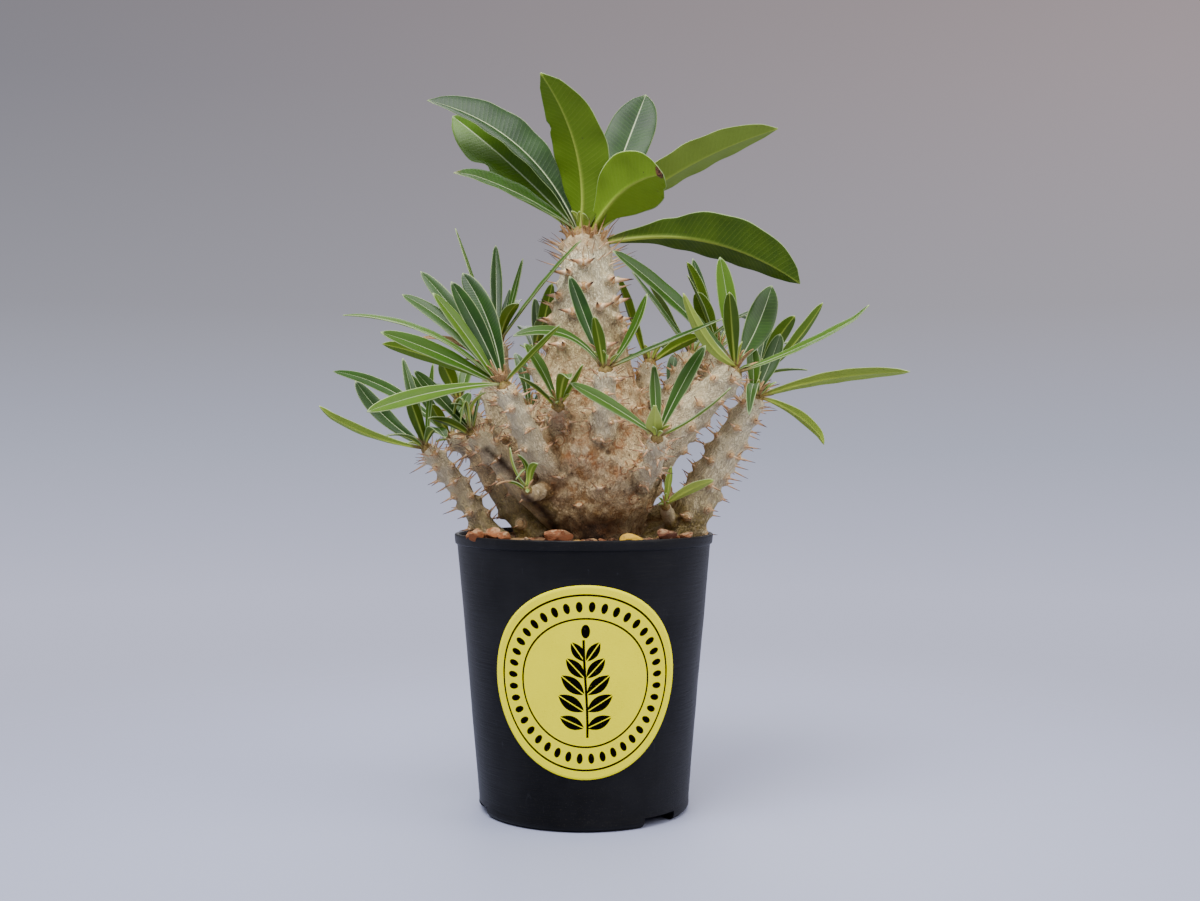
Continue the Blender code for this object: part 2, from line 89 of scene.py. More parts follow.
class Nodes:  # a node tree of any kind
    def __init__(self, tree):
        self.tree = tree

    def link(self, value, socket):
        if isinstance(value, Value):
            self.tree.links.new(value.socket, socket)
        elif isinstance(value, tuple) and len(value) == 3 and socket.type == "RGBA":
            socket.default_value = (*linear(value), 1)
        else:
            socket.default_value = value

    def node(self, kind, settings=None, values=(), output=None):
        made = self.tree.nodes.new(kind)
        for name, value in (settings or {}).items():
            setattr(made, name, value)
        for name, value in (values.items() if isinstance(values, dict) else enumerate(values)):
            self.link(value, pick(made.inputs, name))
        return Value(self, pick(made.outputs, output))

    def maths(self, kind, *values):
        return self.node("ShaderNodeMath", dict(operation=kind), values)

    def split(self, where):  # x, y and z
        first = self.node("ShaderNodeSeparateXYZ", None, [where])
        return [Value(self, output) for output in first.socket.node.outputs]

    def noise(self, where, scale, detail=3.0, rough=0.5, warp=0.0):
        return self.node("ShaderNodeTexNoise", None, {
            "Vector": where, "Scale": scale, "Detail": detail, "Roughness": rough,
            "Distortion": warp})

    def mix(self, share, low, high, blend="MIX"):  # colour between low and high
        return self.node("ShaderNodeMix", dict(data_type="RGBA", blend_type=blend),
                         {0: share, 6: low, 7: high}, 2)

    def coats(self, base, *layers):  # base under layers, each a share and a colour
        for share, colour in layers:
            base = self.mix(share, base, colour)
        return base

    def gradient(self, share, stops):  # colour at share, through stops of place and colour
        made = self.node("ShaderNodeValToRGB", None, [share])
        points = made.socket.node.color_ramp.elements
        while len(points) < len(stops):
            points.new(1.0)
        for point, (place, colour) in zip(points, stops):
            point.position = place
            point.color = (*linear(colour), 1)
        return made


class Finish(Nodes):  # one material and its nodes
    def __init__(self, name, **fixed):
        self.material = bpy.data.materials.new(name)
        self.material.use_nodes = True
        super().__init__(self.material.node_tree)
        self.set(**fixed)

    def set(self, **values):
        inputs = self.tree.nodes["Principled BSDF"].inputs
        for name, value in values.items():
            spaced = "".join(" " + c if c.isupper() else c for c in name).strip()
            self.link(value, inputs["Specular IOR Level" if spaced == "Specular" else spaced])

    def place(self, *scale):  # object coordinates in millimetres, stretched by scale
        where = self.node("ShaderNodeTexCoord", output="Object")
        return self.stretch(where, *(s / mm for s in scale or (1, 1, 1)))

    def stretch(self, where, *scale):
        return self.node("ShaderNodeMapping", None, {"Vector": where, "Scale": scale})

    def cells(self, where, scale):
        return self.node("ShaderNodeTexVoronoi", None, {"Vector": where, "Scale": scale})

    def attribute(self, name, output="Fac"):
        return self.node("ShaderNodeAttribute", dict(attribute_name=name), output=output)

    def bump(self, height, distance, strength=1.0):  # relief of height, 0 to 1, times distance
        self.set(Normal=self.node("ShaderNodeBump", None, {
            "Strength": strength, "Distance": distance * mm, "Height": height}))


class GeometryTree(Nodes):  # a Geometry Nodes tree with named inputs
    def __init__(self, name, **inputs):
        super().__init__(bpy.data.node_groups.new(name, "GeometryNodeTree"))
        sockets = self.tree.interface
        sockets.new_socket("Geometry", in_out="INPUT", socket_type="NodeSocketGeometry")
        self.keys = {}
        for label, value in inputs.items():
            kind = "NodeSocketInt" if isinstance(value, int) else "NodeSocketFloat"
            socket = sockets.new_socket(label, in_out="INPUT", socket_type=kind)
            socket.default_value = value
            self.keys[label] = socket.identifier
        sockets.new_socket("Geometry", in_out="OUTPUT", socket_type="NodeSocketGeometry")
        self.start = self.tree.nodes.new("NodeGroupInput")
        self.end = self.tree.nodes.new("NodeGroupOutput")

    def given(self, label="Geometry"):
        return Value(self, self.start.outputs[label])

    def position(self):
        return self.node("GeometryNodeInputPosition")

    def join(self, x, y, z):
        return self.node("ShaderNodeCombineXYZ", None, [x, y, z])

    def scaled(self, vector, amount):
        return self.node("ShaderNodeVectorMath", dict(operation="SCALE"),
                         {"Vector": vector, "Scale": amount})

    def random(self, low, high, seed):
        kind = "FLOAT_VECTOR" if isinstance(low, tuple) else "FLOAT"
        return self.node("FunctionNodeRandomValue", dict(data_type=kind),
                         {"Min": low, "Max": high, "Seed": seed})

    def euler(self, turn):
        return self.node("FunctionNodeEulerToRotation", None, {"Euler": turn})

    def read(self, name, kind="FLOAT"):
        return self.node("GeometryNodeInputNamedAttribute", dict(data_type=kind), {"Name": name})

    def store(self, geometry, name, value, domain="INSTANCE"):
        return self.node("GeometryNodeStoreNamedAttribute", dict(data_type="FLOAT", domain=domain),
                         {"Geometry": geometry, "Name": name, "Value": value})

    def moved(self, geometry, **way):
        return self.node("GeometryNodeSetPosition", None, {"Geometry": geometry, **way})

    def realized(self, geometry):
        return self.node("GeometryNodeRealizeInstances", None, {"Geometry": geometry})

    def finish(self, geometry, finish):
        self.link(self.node("GeometryNodeSetMaterial", None, {
            "Geometry": self.realized(geometry), "Material": finish.material}), self.end.inputs[0])

    def put(self, piece, **values):  # add the tree to a piece, set its inputs and bake it
        maker = piece.modifiers.new(self.tree.name, "NODES")
        maker.node_group = self.tree
        for label, value in values.items():
            maker[self.keys[label]] = value
        return baked(piece)


# Mesh helpers

def addPiece(name, data, finish=None):
    piece = bpy.data.objects.new(name, data)
    bpy.context.scene.collection.objects.link(piece)
    if finish:
        data.materials.append(finish.material)
    return piece


def smooth(data):
    data.polygons.foreach_set("use_smooth", [True] * len(data.polygons))


def meshOf(name, points, faces):
    data = bpy.data.meshes.new(name)
    data.from_pydata((np.asarray(points) * mm).tolist(), [], faces)
    smooth(data)
    return data


def baked(piece):  # the evaluated object as a plain mesh, with its modifiers gone
    bpy.context.view_layer.update()
    graph = bpy.context.evaluated_depsgraph_get()
    data = bpy.data.meshes.new_from_object(piece.evaluated_get(graph))
    old = piece.data
    piece.modifiers.clear()
    piece.data = data
    bpy.data.meshes.remove(old)
    return piece


def meshFrom(name, work):
    data = bpy.data.meshes.new(name)
    work.to_mesh(data)
    work.free()
    return data


def faceOutwards(data):
    work = bmesh.new()
    work.from_mesh(data)
    bmesh.ops.recalc_face_normals(work, faces=work.faces)
    work.to_mesh(data)
    work.free()


def setAttributes(data, **columns):
    for name, values in columns.items():
        values = np.asarray(values, dtype=np.float32)
        kind, part = ("FLOAT_VECTOR", "vector") if values.ndim == 2 else ("FLOAT", "value")
        data.attributes.new(name, kind, "POINT").data.foreach_set(part, values.ravel())


def column(items, name, width=3, kind=np.float32):  # one property of all items as an array
    flat = np.empty(len(items) * width, dtype=kind)
    items.foreach_get(name, flat)
    return flat.reshape(-1, width)


def circle(radius, count):  # x and y of points round a circle
    return [(radius * math.cos(tau * k / count), radius * math.sin(tau * k / count))
            for k in range(count)]


def around(angle):
    return Vector((math.cos(angle), math.sin(angle), 0))


def ringFaces(rings):  # faces between rings of point numbers, of which some are single points
    faces = []
    for low, high in zip(rings, rings[1:]):
        for k in range(max(len(low), len(high))):
            corners = [ring[j % len(ring)] for ring, j in
                       ((low, k), (high, k), (high, k + 1), (low, k + 1))]
            faces.append(tuple(dict.fromkeys(corners)))
    return faces


def skin(circles):  # points and faces of the surface through circles of points
    points, rings = [], []
    for ring in circles:
        rings.append(range(len(points), len(points) + len(ring)))
        points += ring
    return points, ringFaces(rings)


def finishPiece(piece, slotName, *nodes):
    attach(piece, "root")
    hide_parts(*nodes)


def ease(t):
    t = np.clip(t, 0.0, 1.0)
    return t * t * (3 - 2 * t)


# Camera, light and floor

photo = {
    "place": (7.5, -650, 165.7),    # level, in front of the pot
    "focal": 1391.0,                # in pixels of a picture 1200 wide
    "width": 1200,
    "floorColour": (152, 157, 182), "floorRings": (60, 140, 260, 420, 640), "fadeFrom": 90,
    "sky": [  # height of the view direction and its colour, from the floor to overhead
        (-0.32, (212, 215, 240)), (-0.1, (216, 218, 246)), (0.0, (187, 191, 213)),
        (0.1, (168, 167, 178)), (0.3, (157, 151, 157)), (0.42, (150, 147, 152)),
        (0.8, (1.5, 1.53, 1.6))],
    "leftTint": (0.72, 0.75, 0.78), "rightTint": (1.2, 1.1, 1.06),
    "lamps": {  # place, size and power
        "key": ((-300, -520, 1150), 700, 24.0), "side": ((900, -350, 700), 600, 7.0),
        "back": ((150, 900, 900), 900, 7.0)},
    "lampAim": (0, 0, 170),
}


def makeWorld():
    world = bpy.data.worlds.new("studio")
    world.use_nodes = True
    bpy.context.scene.world = world
    air = Nodes(world.node_tree)
    x, _, z = air.split(air.node("ShaderNodeTexCoord", output="Generated"))
    low, high = photo["sky"][0][0], photo["sky"][-1][0]
    sky = air.gradient(z.ramp(low, high, "LINEAR"), [
        ((height - low) / (high - low), colour) for height, colour in photo["sky"]])
    side = air.mix(x.ramp(-0.42, 0.36, "LINEAR"), photo["leftTint"], photo["rightTint"])
    sky = air.mix(z.ramp(0.0, 0.25, "LINEAR"), sky, side, "MULTIPLY")
    air.link(sky, air.tree.nodes["Background"].inputs["Color"])


def makeStage():
    camera = bpy.data.cameras.new("camera")
    camera.sensor_fit = "HORIZONTAL"
    camera.lens = photo["focal"] * camera.sensor_width / photo["width"]
    camera.clip_start = 0.01
    holder = addPiece("camera", camera)
    holder.location = Vector(photo["place"]) * mm
    holder.rotation_euler = (math.radians(90), 0, 0)
    bpy.context.scene.camera = holder
    makeWorld()
    for name, (place, size, power) in photo["lamps"].items():
        lamp = bpy.data.lights.new(name, "AREA")
        lamp.size = size * mm
        lamp.energy = power
        holder = addPiece(name, lamp)
        holder.location = Vector(place) * mm
        aim = Vector(photo["lampAim"]) - Vector(place)
        holder.rotation_euler = aim.to_track_quat("-Z", "Y").to_euler()

    rings = photo["floorRings"]
    finish = Finish("floor", BaseColor=photo["floorColour"], Roughness=0.6)
    x, y, _ = finish.split(finish.place())
    away = (x * x + y * y) ** 0.5
    finish.set(Alpha=1 - away.ramp(photo["fadeFrom"], rings[-1]))
    circles = [[(0, 0, 0)]] + [[(x, y, 0) for x, y in circle(ring, 48)] for ring in rings]
    floor = addPiece("floor", meshOf("floor", *skin(circles)), finish)


makeStage()
print("camera, lights and floor")


# Pot

pot = {
    "height": 127.4, "rimRadius": 60.0, "lipHeight": 4.5, "lipProud": 1.0,
    "baseRadius": 49.0, "footRadius": 46.5, "footHeight": 5.0, "wall": 1.3, "seat": 9,
    "notchWidth": 19.0, "notchDepth": 20.0, "notchAngles": (-45, 75, 195),
    "drainRadius": 4.5, "drainRing": 22.0, "drainCount": 4,
    "steps": 192, "wobble": 0.34,
}


def wallRadius(height):
    neck, base, seat = pot["rimRadius"] - 0.3 - pot["lipProud"], pot["baseRadius"], pot["seat"]
    top = pot["height"] - pot["lipHeight"] - 1
    return base + (neck - base) * (height - seat) / (top - seat)


def potFinish():
    look = Finish("black plastic", Specular=0.13)
    where = look.place()
    *_, z = look.split(where)
    cloud = look.noise(where, 0.022, 4, 0.6)
    streak = look.noise(look.place(0.05, 0.05, 0.9), 1.0, 4, 0.6, 0.6)
    scuff = look.noise(look.place(0.35, 0.35, 0.09), 1.0, 5, 0.75, 1.4)
    dust = look.noise(where, 1.9, 3, 0.7)
    low, lip = 1 - z.ramp(2, 46), z.ramp(120, 126)
    dusty = (dust.ramp(0.58, 0.74) * (low * 0.6 + lip * 0.5 + 0.12)).min(1.0)
    scratched = scuff.ramp(0.62, 0.74) * 0.45
    worn = cloud.ramp(0.35, 0.7) * 0.6 + z.ramp(20, 126) * 0.4
    base = look.coats((3, 3, 4), (worn, (26, 26, 28)), (dusty * 0.3, (104, 96, 86)),
                      (scratched * 0.6, (70, 72, 78)))
    look.set(BaseColor=base, Roughness=0.34 + cloud * 0.16 + dusty * 0.3 + scratched * 0.3)
    look.bump(streak * 0.8 + cloud * 0.3 + scuff * 0.12, 0.5, 0.7)
    return look


def potProfile():  # radius and height of points from the rim, down outside and up inside
    height, rim, lip, seat = pot["height"], pot["rimRadius"], pot["lipHeight"], pot["seat"]
    base, foot, floor, wall = pot["baseRadius"], pot["footRadius"], pot["footHeight"], pot["wall"]
    neck = rim - 0.3 - pot["lipProud"]
    profile = []

    def line(count, *corners):
        for start, end in zip(corners, corners[1:]):
            profile.extend(tuple(a + (b - a) * k / count for a, b in zip(start, end))
                           for k in range(count))

    def bend(middle, radius, fromAngle, toAngle, count):
        for k in range(count + 1):
            a = math.radians(fromAngle + (toAngle - fromAngle) * k / count)
            profile.append((middle[0] + radius * math.cos(a), middle[1] + radius * math.sin(a)))

    shoulder = height - lip - 1
    bend((rim - 0.66, height - 0.66), 0.66, 90, 0, 4)
    line(4, (rim, height - 1.2), (rim - 0.25, height - lip + 0.5))
    bend((rim - 0.8, height - lip + 0.45), 0.5, 0, -80, 3)
    line(2, (neck + 0.12, height - lip - 0.35), (neck, shoulder))
    line(64, (neck, shoulder), (base, seat))
    line(3, (base, seat), (base - 0.35, 6))
    bend((base - 3.4, 3.2), 3.2, 12, -75, 6)
    line(2, (foot - 1, 0.03), (foot - 3, 0))
    line(4, (foot - 3, 0), (foot - 4, floor))
    line(12, (foot - 4, floor), (0, floor))
    line(12, (0, floor + wall), (base - wall - 2, floor + wall))
    line(3, (base - wall - 2, floor + wall), (base - wall, 10))
    line(24, (base - wall, 10), (neck - wall, shoulder))
    line(6, (neck - wall, shoulder), (neck - wall + 0.35, height - 0.8))
    return profile + [(rim - 1.9, height - 0.15), profile[0]]


def turnedWall(rows, look):  # tree that turns a profile of rows points about the upright axis
    tree = GeometryTree("turned wall", Steps=96, Wobble=0.0)
    grid = tree.node("GeometryNodeMeshGrid", None, {
        "Size X": 1.0, "Size Y": 1.0, "Vertices X": tree.given("Steps") + 1, "Vertices Y": rows})
    u, v, _ = tree.split(tree.position())
    turn, row = (u + 0.5) * tau, (v + 0.5) * (rows - 1)
    spot = tree.node("GeometryNodeSampleIndex", dict(data_type="FLOAT_VECTOR"), {
        "Geometry": tree.given(), "Value": tree.position(), "Index": row.math("ROUND")})
    radius, _, rise = tree.split(spot)
    soft = tree.noise(tree.join(turn.cos(), turn.sin(), rise * 22.0), 1.3, 2.0)
    share = radius * 20.0  # the wobble is full 50 mm from the axis
    reach = radius + (soft - 0.5) * share * (tree.given("Wobble") * (2 * mm))
    place = tree.join(reach * turn.cos(), reach * turn.sin(), rise)
    closed = tree.node("GeometryNodeMergeByDistance", None, {
        "Geometry": tree.moved(grid, Position=place), "Distance": 2e-6})
    tree.finish(closed, look)
    return tree


def potCuts():  # notches at the foot and drainage holes in the floor, as one mesh
    work = bmesh.new()
    floor = pot["footHeight"]
    for angle in pot["notchAngles"]:
        start = len(work.verts)
        bmesh.ops.create_cube(work, size=1)
        work.verts.ensure_lookup_table()
        size = Matrix.Diagonal((pot["notchDepth"] * mm, pot["notchWidth"] * mm,
                                2 * (floor - 0.6) * mm, 1))
        place = Matrix.Rotation(math.radians(angle), 4, "Z")
        place = place @ Matrix.Translation((pot["baseRadius"] * mm, 0, 0)) @ size
        bmesh.ops.transform(work, matrix=place, verts=work.verts[start:])
    for x, y in circle(pot["drainRing"], pot["drainCount"]):
        start = len(work.verts)
        radius = pot["drainRadius"] * mm
        bmesh.ops.create_cone(work, cap_ends=True, segments=28, radius1=radius, radius2=radius,
                              depth=10 * mm)
        work.verts.ensure_lookup_table()
        bmesh.ops.translate(work, vec=Vector((x, y, floor)) * mm, verts=work.verts[start:])
    return meshFrom("holes", work)


def makePot():
    look = potFinish()
    profile = potProfile()
    piece = addPiece("potBody", meshOf("potBody", [(r, 0, z) for r, z in profile], []))
    turnedWall(len(profile), look).put(piece, Steps=pot["steps"], Wobble=pot["wobble"])
    holes = addPiece("holes", potCuts(), look)
    faceOutwards(piece.data)
    cut = piece.modifiers.new("Holes", "BOOLEAN")
    cut.operation, cut.object, cut.solver = "DIFFERENCE", holes, "MANIFOLD"
    baked(piece)
    bpy.data.objects.remove(holes)
    smooth(piece.data)
    piece.data.set_sharp_from_angle(angle=math.radians(40))
    finishPiece(piece, "pot", "pot")


makePot()
print("pot")


# Sticker

label = {
    "radius": 42.3, "height": 66.0, "across": 1.3, "thickness": 0.3, "lift": 0.25,
    "segments": 144, "rings": 30,
    "paper": linear((238, 228, 0)), "edge": (240, 232, 0), "ink": (9, 8, 5),
    "beads": 40, "leafPairs": 5,
}


def labelPrint(x, y, reach):  # 1 where the sticker is inked: rings, beads and a sprig
    def band(value, middle, half, soft=0.004):  # 1 within half of middle
        return 1 - (value - middle).abs().ramp(half, half + soft)

    step = tau / label["beads"]
    off = ((y.math("ARCTAN2", x) / step).math("FRACT") - 0.5) * step * 0.78
    out = reach - 0.78
    beads = 1 - ((out * out * 0.35 + off * off) ** 0.5).ramp(0.03, 0.035)
    stem = band(x + (y * 3.2).sin() * 0.02, 0, 0.011) * (1 - (y + 0.06).abs().ramp(0.5, 0.505))
    inked = band(reach, 0.9, 0.009).max(band(reach, 0.66, 0.008)).max(beads).max(stem)
    for k in range(label["leafPairs"]):
        size, tilt = 0.3 - 0.03 * abs(k - 1.4), math.radians(24 + 8 * k)
        for side in (-1, 1):
            cos, sin = side * math.cos(tilt), math.sin(tilt)
            dx, dy = x - cos * size * 0.6, y - (-0.47 + 0.17 * k + size * 0.6 * sin)
            along, off = dx * cos + dy * sin, dy * math.cos(tilt) - dx * (side * sin)
            half = (1 - (along * along) / (0.3 * size * size)) * (0.26 * size)
            inked = inked.max((half - off.abs()).ramp(-0.002, 0.002)
                              * (1 - band(off, 0, 0.0035, 0.003)))
    high = y - 0.53
    return inked.max(1 - ((x * x * 2.6 + high * high) ** 0.5).ramp(0.068, 0.073))


def labelFinish():
    # the sticker's colour also glows a little: painted light, as the sticker is no lamp
    look = Finish("yellow sticker", Specular=0.0, EmissionStrength=0.14)
    u, v, _ = look.split(look.node("ShaderNodeUVMap"))
    x, y = u * 2 - 1, v * 2 - 1
    reach = (x * x + y * y) ** 0.5
    where = look.place()
    grain, cloud = look.noise(where, 0.9, 4, 0.7), look.noise(where, 0.06, 3, 0.5)
    rubbed = look.noise(where, 0.8, 5, 0.8).ramp(0.64, 0.72) * 0.3
    specks = look.noise(where, 1.5, 2, 0.5).ramp(0.72, 0.78) * 0.5
    colour_and_painted_glow = look.coats(
        label["paper"], (cloud.ramp(0.3, 0.75), tuple(c * 0.93 for c in label["paper"])),
        (reach.ramp(0.962, 0.972), label["edge"]), (specks, (150, 132, 70)),
        (labelPrint(x, y, reach) * (1 - rubbed), label["ink"]))
    # the same colour feeds the faint painted glow
    look.set(BaseColor=colour_and_painted_glow, EmissionColor=colour_and_painted_glow, Roughness=0.42 + grain * 0.14)
    look.bump(cloud * 0.8 + grain * 0.12, 0.25, 0.5)
    return look


def makeLabel():
    outer, thickness, rings = label["radius"], label["thickness"], label["rings"]

    def wrap(x, z, lift):
        height = label["height"] + z
        radius = wallRadius(height) + label["lift"] + lift
        angle = (label["across"] + x) / wallRadius(label["height"])
        return radius * math.sin(angle), -radius * math.cos(angle), height

    steps = [(0, thickness)] + [(outer * (k / rings) ** 0.9, thickness) for k in range(1, rings)]
    steps += [(outer - 0.12, thickness), (outer, thickness * 0.5), (outer - 0.1, 0)]
    steps += [(outer * (1 - k / 5), 0) for k in range(1, 5)] + [(0, 0)]
    circles, uvs = [], []
    for reach, lift in steps:
        ring = circle(reach, label["segments"]) if reach else [(0, 0)]
        wave = 0.05 * math.sin(reach / 7)
        uvs += [(0.5 + x / outer / 2, 0.5 + z / outer / 2) for x, z in ring]
        circles.append([])
        for k, (x, z) in enumerate(ring):
            crest = max(0, math.sin(2 * tau * k / label["segments"] + 1.2)) ** 3
            curl = 0.22 * max(0, reach / outer - 0.93) / 0.07 * crest
            circles[-1].append(wrap(x, z, lift + wave + curl))
    data = meshOf("sticker", *skin(circles))
    layer = data.uv_layers.new(name="UVMap")
    for loop in data.loops:
        layer.data[loop.index].uv = uvs[loop.vertex_index]
    finishPiece(addPiece("sticker", data, labelFinish()), "label", "label")


makeLabel()
print("sticker")


# Soil and chips

soil = {
    "top": 123.6, "bottom": 6.6, "steps": 120, "ringGap": 1.5, "mound": 1.6,
    "grit": dict(ring=(17, 56.2), lift=0.1, Gap=2.7, Smallest=0.9, Largest=2.6, Flat=0.75,
                 Long=1.25, Knobby=1.1, Seed=4),
    "barkChips": dict(ring=(24, 53.5), lift=0.8, Gap=9.0, Smallest=2.6, Largest=4.6, Flat=0.4,
                      Long=1.6, Knobby=0.9, Seed=11),
    "front": [  # x, y, z, long, wide, thick, turn and tint of chips that show over the rim
        (-46, -35, 128.2, 7.5, 5.0, 5.0, 30, 0.36), (-39.5, -38, 128.6, 7.0, 5.0, 5.4, -15, 0.4),
        (-34.5, -41, 127.6, 6.0, 4.5, 4.4, 50, 0.34), (-43, -31, 126.2, 7.5, 6, 5, 0, 0.2),
        (-37, -35, 126, 7.5, 6, 5, 0, 0.1), (-50, -28, 127.2, 6.0, 4.4, 4.0, 80, 0.44),
        (-11, -45, 128.4, 12.5, 5.0, 6.8, 8, 0.3), (-12, -42, 125.6, 10, 7, 5, 0, 0.1),
        (20.5, -51.5, 127.5, 9.0, 3.4, 4.0, -6, 1.0), (20, -50, 125, 9, 6, 4, 0, 0.1),
        (36.4, -43, 128.6, 8.8, 5.0, 6.4, 20, 0.2), (36, -41, 126, 9, 7, 5, 0, 0.05),
        (3, -53, 126.2, 5.0, 3.0, 3.0, 5, 0.1), (46, -33, 127.4, 6.0, 4.4, 4.0, -40, 0.5),
        (-24, -49, 126.6, 5.0, 3.4, 3.2, 60, 0.6), (29, -48, 126.6, 5.0, 3.4, 3.0, 30, 0.55)],
}


def soilFinish():
    look = Finish("potting mix", Roughness=0.95, Specular=0.2)
    where = look.place()
    coarse, fine = look.noise(where, 0.35, 5, 0.7), look.noise(where, 1.6, 4, 0.7)
    look.set(BaseColor=look.coats((36, 27, 21), (coarse.ramp(0.35, 0.7), (84, 62, 46)),
                                  (fine.ramp(0.56, 0.75), (128, 106, 84))))
    look.bump(coarse + fine * 0.5, 1.2, 0.9)
    return look


def stoneFinish():
    look = Finish("chips and grit", Specular=0.3)
    where = look.place()
    base = look.gradient(look.attribute("tint"), [
        (0.0, (50, 33, 22)), (0.22, (92, 46, 22)), (0.42, (154, 92, 50)),
        (0.6, (66, 50, 38)), (0.76, (120, 88, 58)), (0.9, (150, 118, 82)),
        (1.0, (204, 160, 40))])
    grain = look.noise(where, 1.4, 4, 0.7)
    pale = look.noise(where, 0.5, 4, 0.6).ramp(0.42, 0.6)
    look.set(BaseColor=look.coats(base, (grain.ramp(0.3, 0.8) * 0.45, (60, 46, 38)),
                                  (pale * look.attribute("dusted") * 0.6, (190, 156, 116))),
             Roughness=0.72 + grain * 0.2)
    look.bump(grain, 0.5, 0.8)
    return look


def makeSoil():
    steps, top, wall, gap = soil["steps"], soil["top"], pot["wall"], soil["ringGap"]
    edge = wallRadius(top) - wall - pot["lipProud"] + 0.4
    circles = [[(0, 0, top)]]
    for ring in [gap * k for k in range(1, int(edge / gap) + 1)] + [edge]:
        mound = soil["mound"] * math.exp(-(ring / 30) ** 2)
        fall = 0.5 * ease((ring - 50) / 8)
        circles.append([])
        for x, y in circle(ring, steps):
            rough = noise.fractal(Vector((x, y, 3)) * 0.12, 0.8, 2.0, 4)
            fine = noise.fractal(Vector((x, y, 9)) * 0.55, 0.7, 2.0, 3)
            circles[-1].append((x, y, top - 0.6 + mound + rough * 0.9 + fine * 0.5 - fall))
    foot = pot["baseRadius"] - wall - 3
    for ring, z in ((wallRadius(12) - wall - 0.6, 12), (foot, soil["bottom"])):
        circles.append([(x, y, z) for x, y in circle(ring, steps)])
    circles.append([(0, 0, soil["bottom"])])
    piece = addPiece("pottingMix", meshOf("pottingMix", *skin(circles)), soilFinish())
    finishPiece(piece, "soil", "soil")


def chipTree(look):  # tree that scatters knobbly stones over a mesh
    tree = GeometryTree("scattered chips", Gap=0.003, Smallest=0.001, Largest=0.002, Flat=0.7,
                        Long=1.3, Knobby=0.3, Seed=1)
    seed, smallest = tree.given("Seed"), tree.given("Smallest")
    spots = tree.node("GeometryNodeDistributePointsOnFaces", dict(distribute_method="POISSON"), {
        "Mesh": tree.given(), "Distance Min": tree.given("Gap"), "Density Max": 400000.0,
        "Seed": seed})
    ball = tree.node("GeometryNodeMeshIcoSphere", None, {"Radius": 1.0, "Subdivisions": 2})
    share = tree.random(0.0, 1.0, seed)
    size = smallest + share * share * (tree.given("Largest") - smallest)
    turn = tree.random((-0.45, -0.45, 0.0), (0.45, 0.45, 6.28), seed + 3)
    stones = tree.node("GeometryNodeInstanceOnPoints", None, {
        "Points": spots, "Instance": ball, "Rotation": tree.euler(turn),
        "Scale": tree.join(size * tree.given("Long"), size, size * tree.given("Flat"))})
    marks = dict(tint=tree.random(0.0, 1.0, seed + 7), girth=size, dusted=0.35)
    for name, value in marks.items():
        stones = tree.store(stones, name, value)
    rough = tree.noise(tree.position(), 320.0, 1.0)
    push = (rough - 0.5) * (tree.read("girth") * tree.given("Knobby"))
    offset = tree.scaled(tree.node("GeometryNodeInputNormal"), push)
    tree.finish(tree.moved(tree.realized(stones), Offset=offset), look)
    return tree


def frontChips():  # cut stones at the places that show over the front of the rim
    chance = random.Random(5)
    work = bmesh.new()
    tintLayer, dustLayer = (work.verts.layers.float.new(name) for name in ("tint", "dusted"))
    for number, (x, y, z, length, wide, thick, turn, tint) in enumerate(soil["front"]):
        start = len(work.verts)
        bmesh.ops.create_icosphere(work, subdivisions=3, radius=1)
        work.verts.ensure_lookup_table()
        cuts = [(Vector([chance.uniform(-1, 1) for _ in range(3)]).normalized(),
                 chance.uniform(0.55, 0.85)) for _ in range(12)]
        for vert in work.verts[start:]:
            p = vert.co * (1 + 0.3 * noise.noise(vert.co * 1.4 + Vector((number * 7, 0, 0))))
            for way, depth in cuts:
                p = p - way * max(p.dot(way) - depth, 0)
            p = p * 1.25
            spot = Matrix.Rotation(math.radians(turn), 3, "Z") @ Vector(
                (p.x * length / 2, p.y * wide / 2, p.z * thick / 2))
            dusted = float(ease((spot.z - 0.05 * thick) / (0.3 * thick)))
            vert.co = (spot + Vector((x, y, z))) * mm
            vert[tintLayer], vert[dustLayer] = tint, dusted * (0.3 if tint == 1.0 else 1.0)
    return meshFrom("frontChips", work)


def makeChips():
    look = stoneFinish()
    tree = chipTree(look)
    pieces = []
    for name in ("grit", "barkChips"):
        values = {**soil[name]}
        ring, height = values.pop("ring"), soil["top"] + values.pop("lift")
        bed = skin([[(x, y, height) for x, y in circle(radius, 48)] for radius in ring])
        for size in ("Gap", "Smallest", "Largest"):
            values[size] *= mm
        pieces.append(tree.put(addPiece(name, meshOf(name, *bed)), **values))
    for piece in pieces + [addPiece("frontChips", frontChips(), look)]:
        finishPiece(piece, "soil", "soil")


makeSoil()
makeChips()
print("soil and chips")


# Woody body: the trunk, its limbs and their thorns

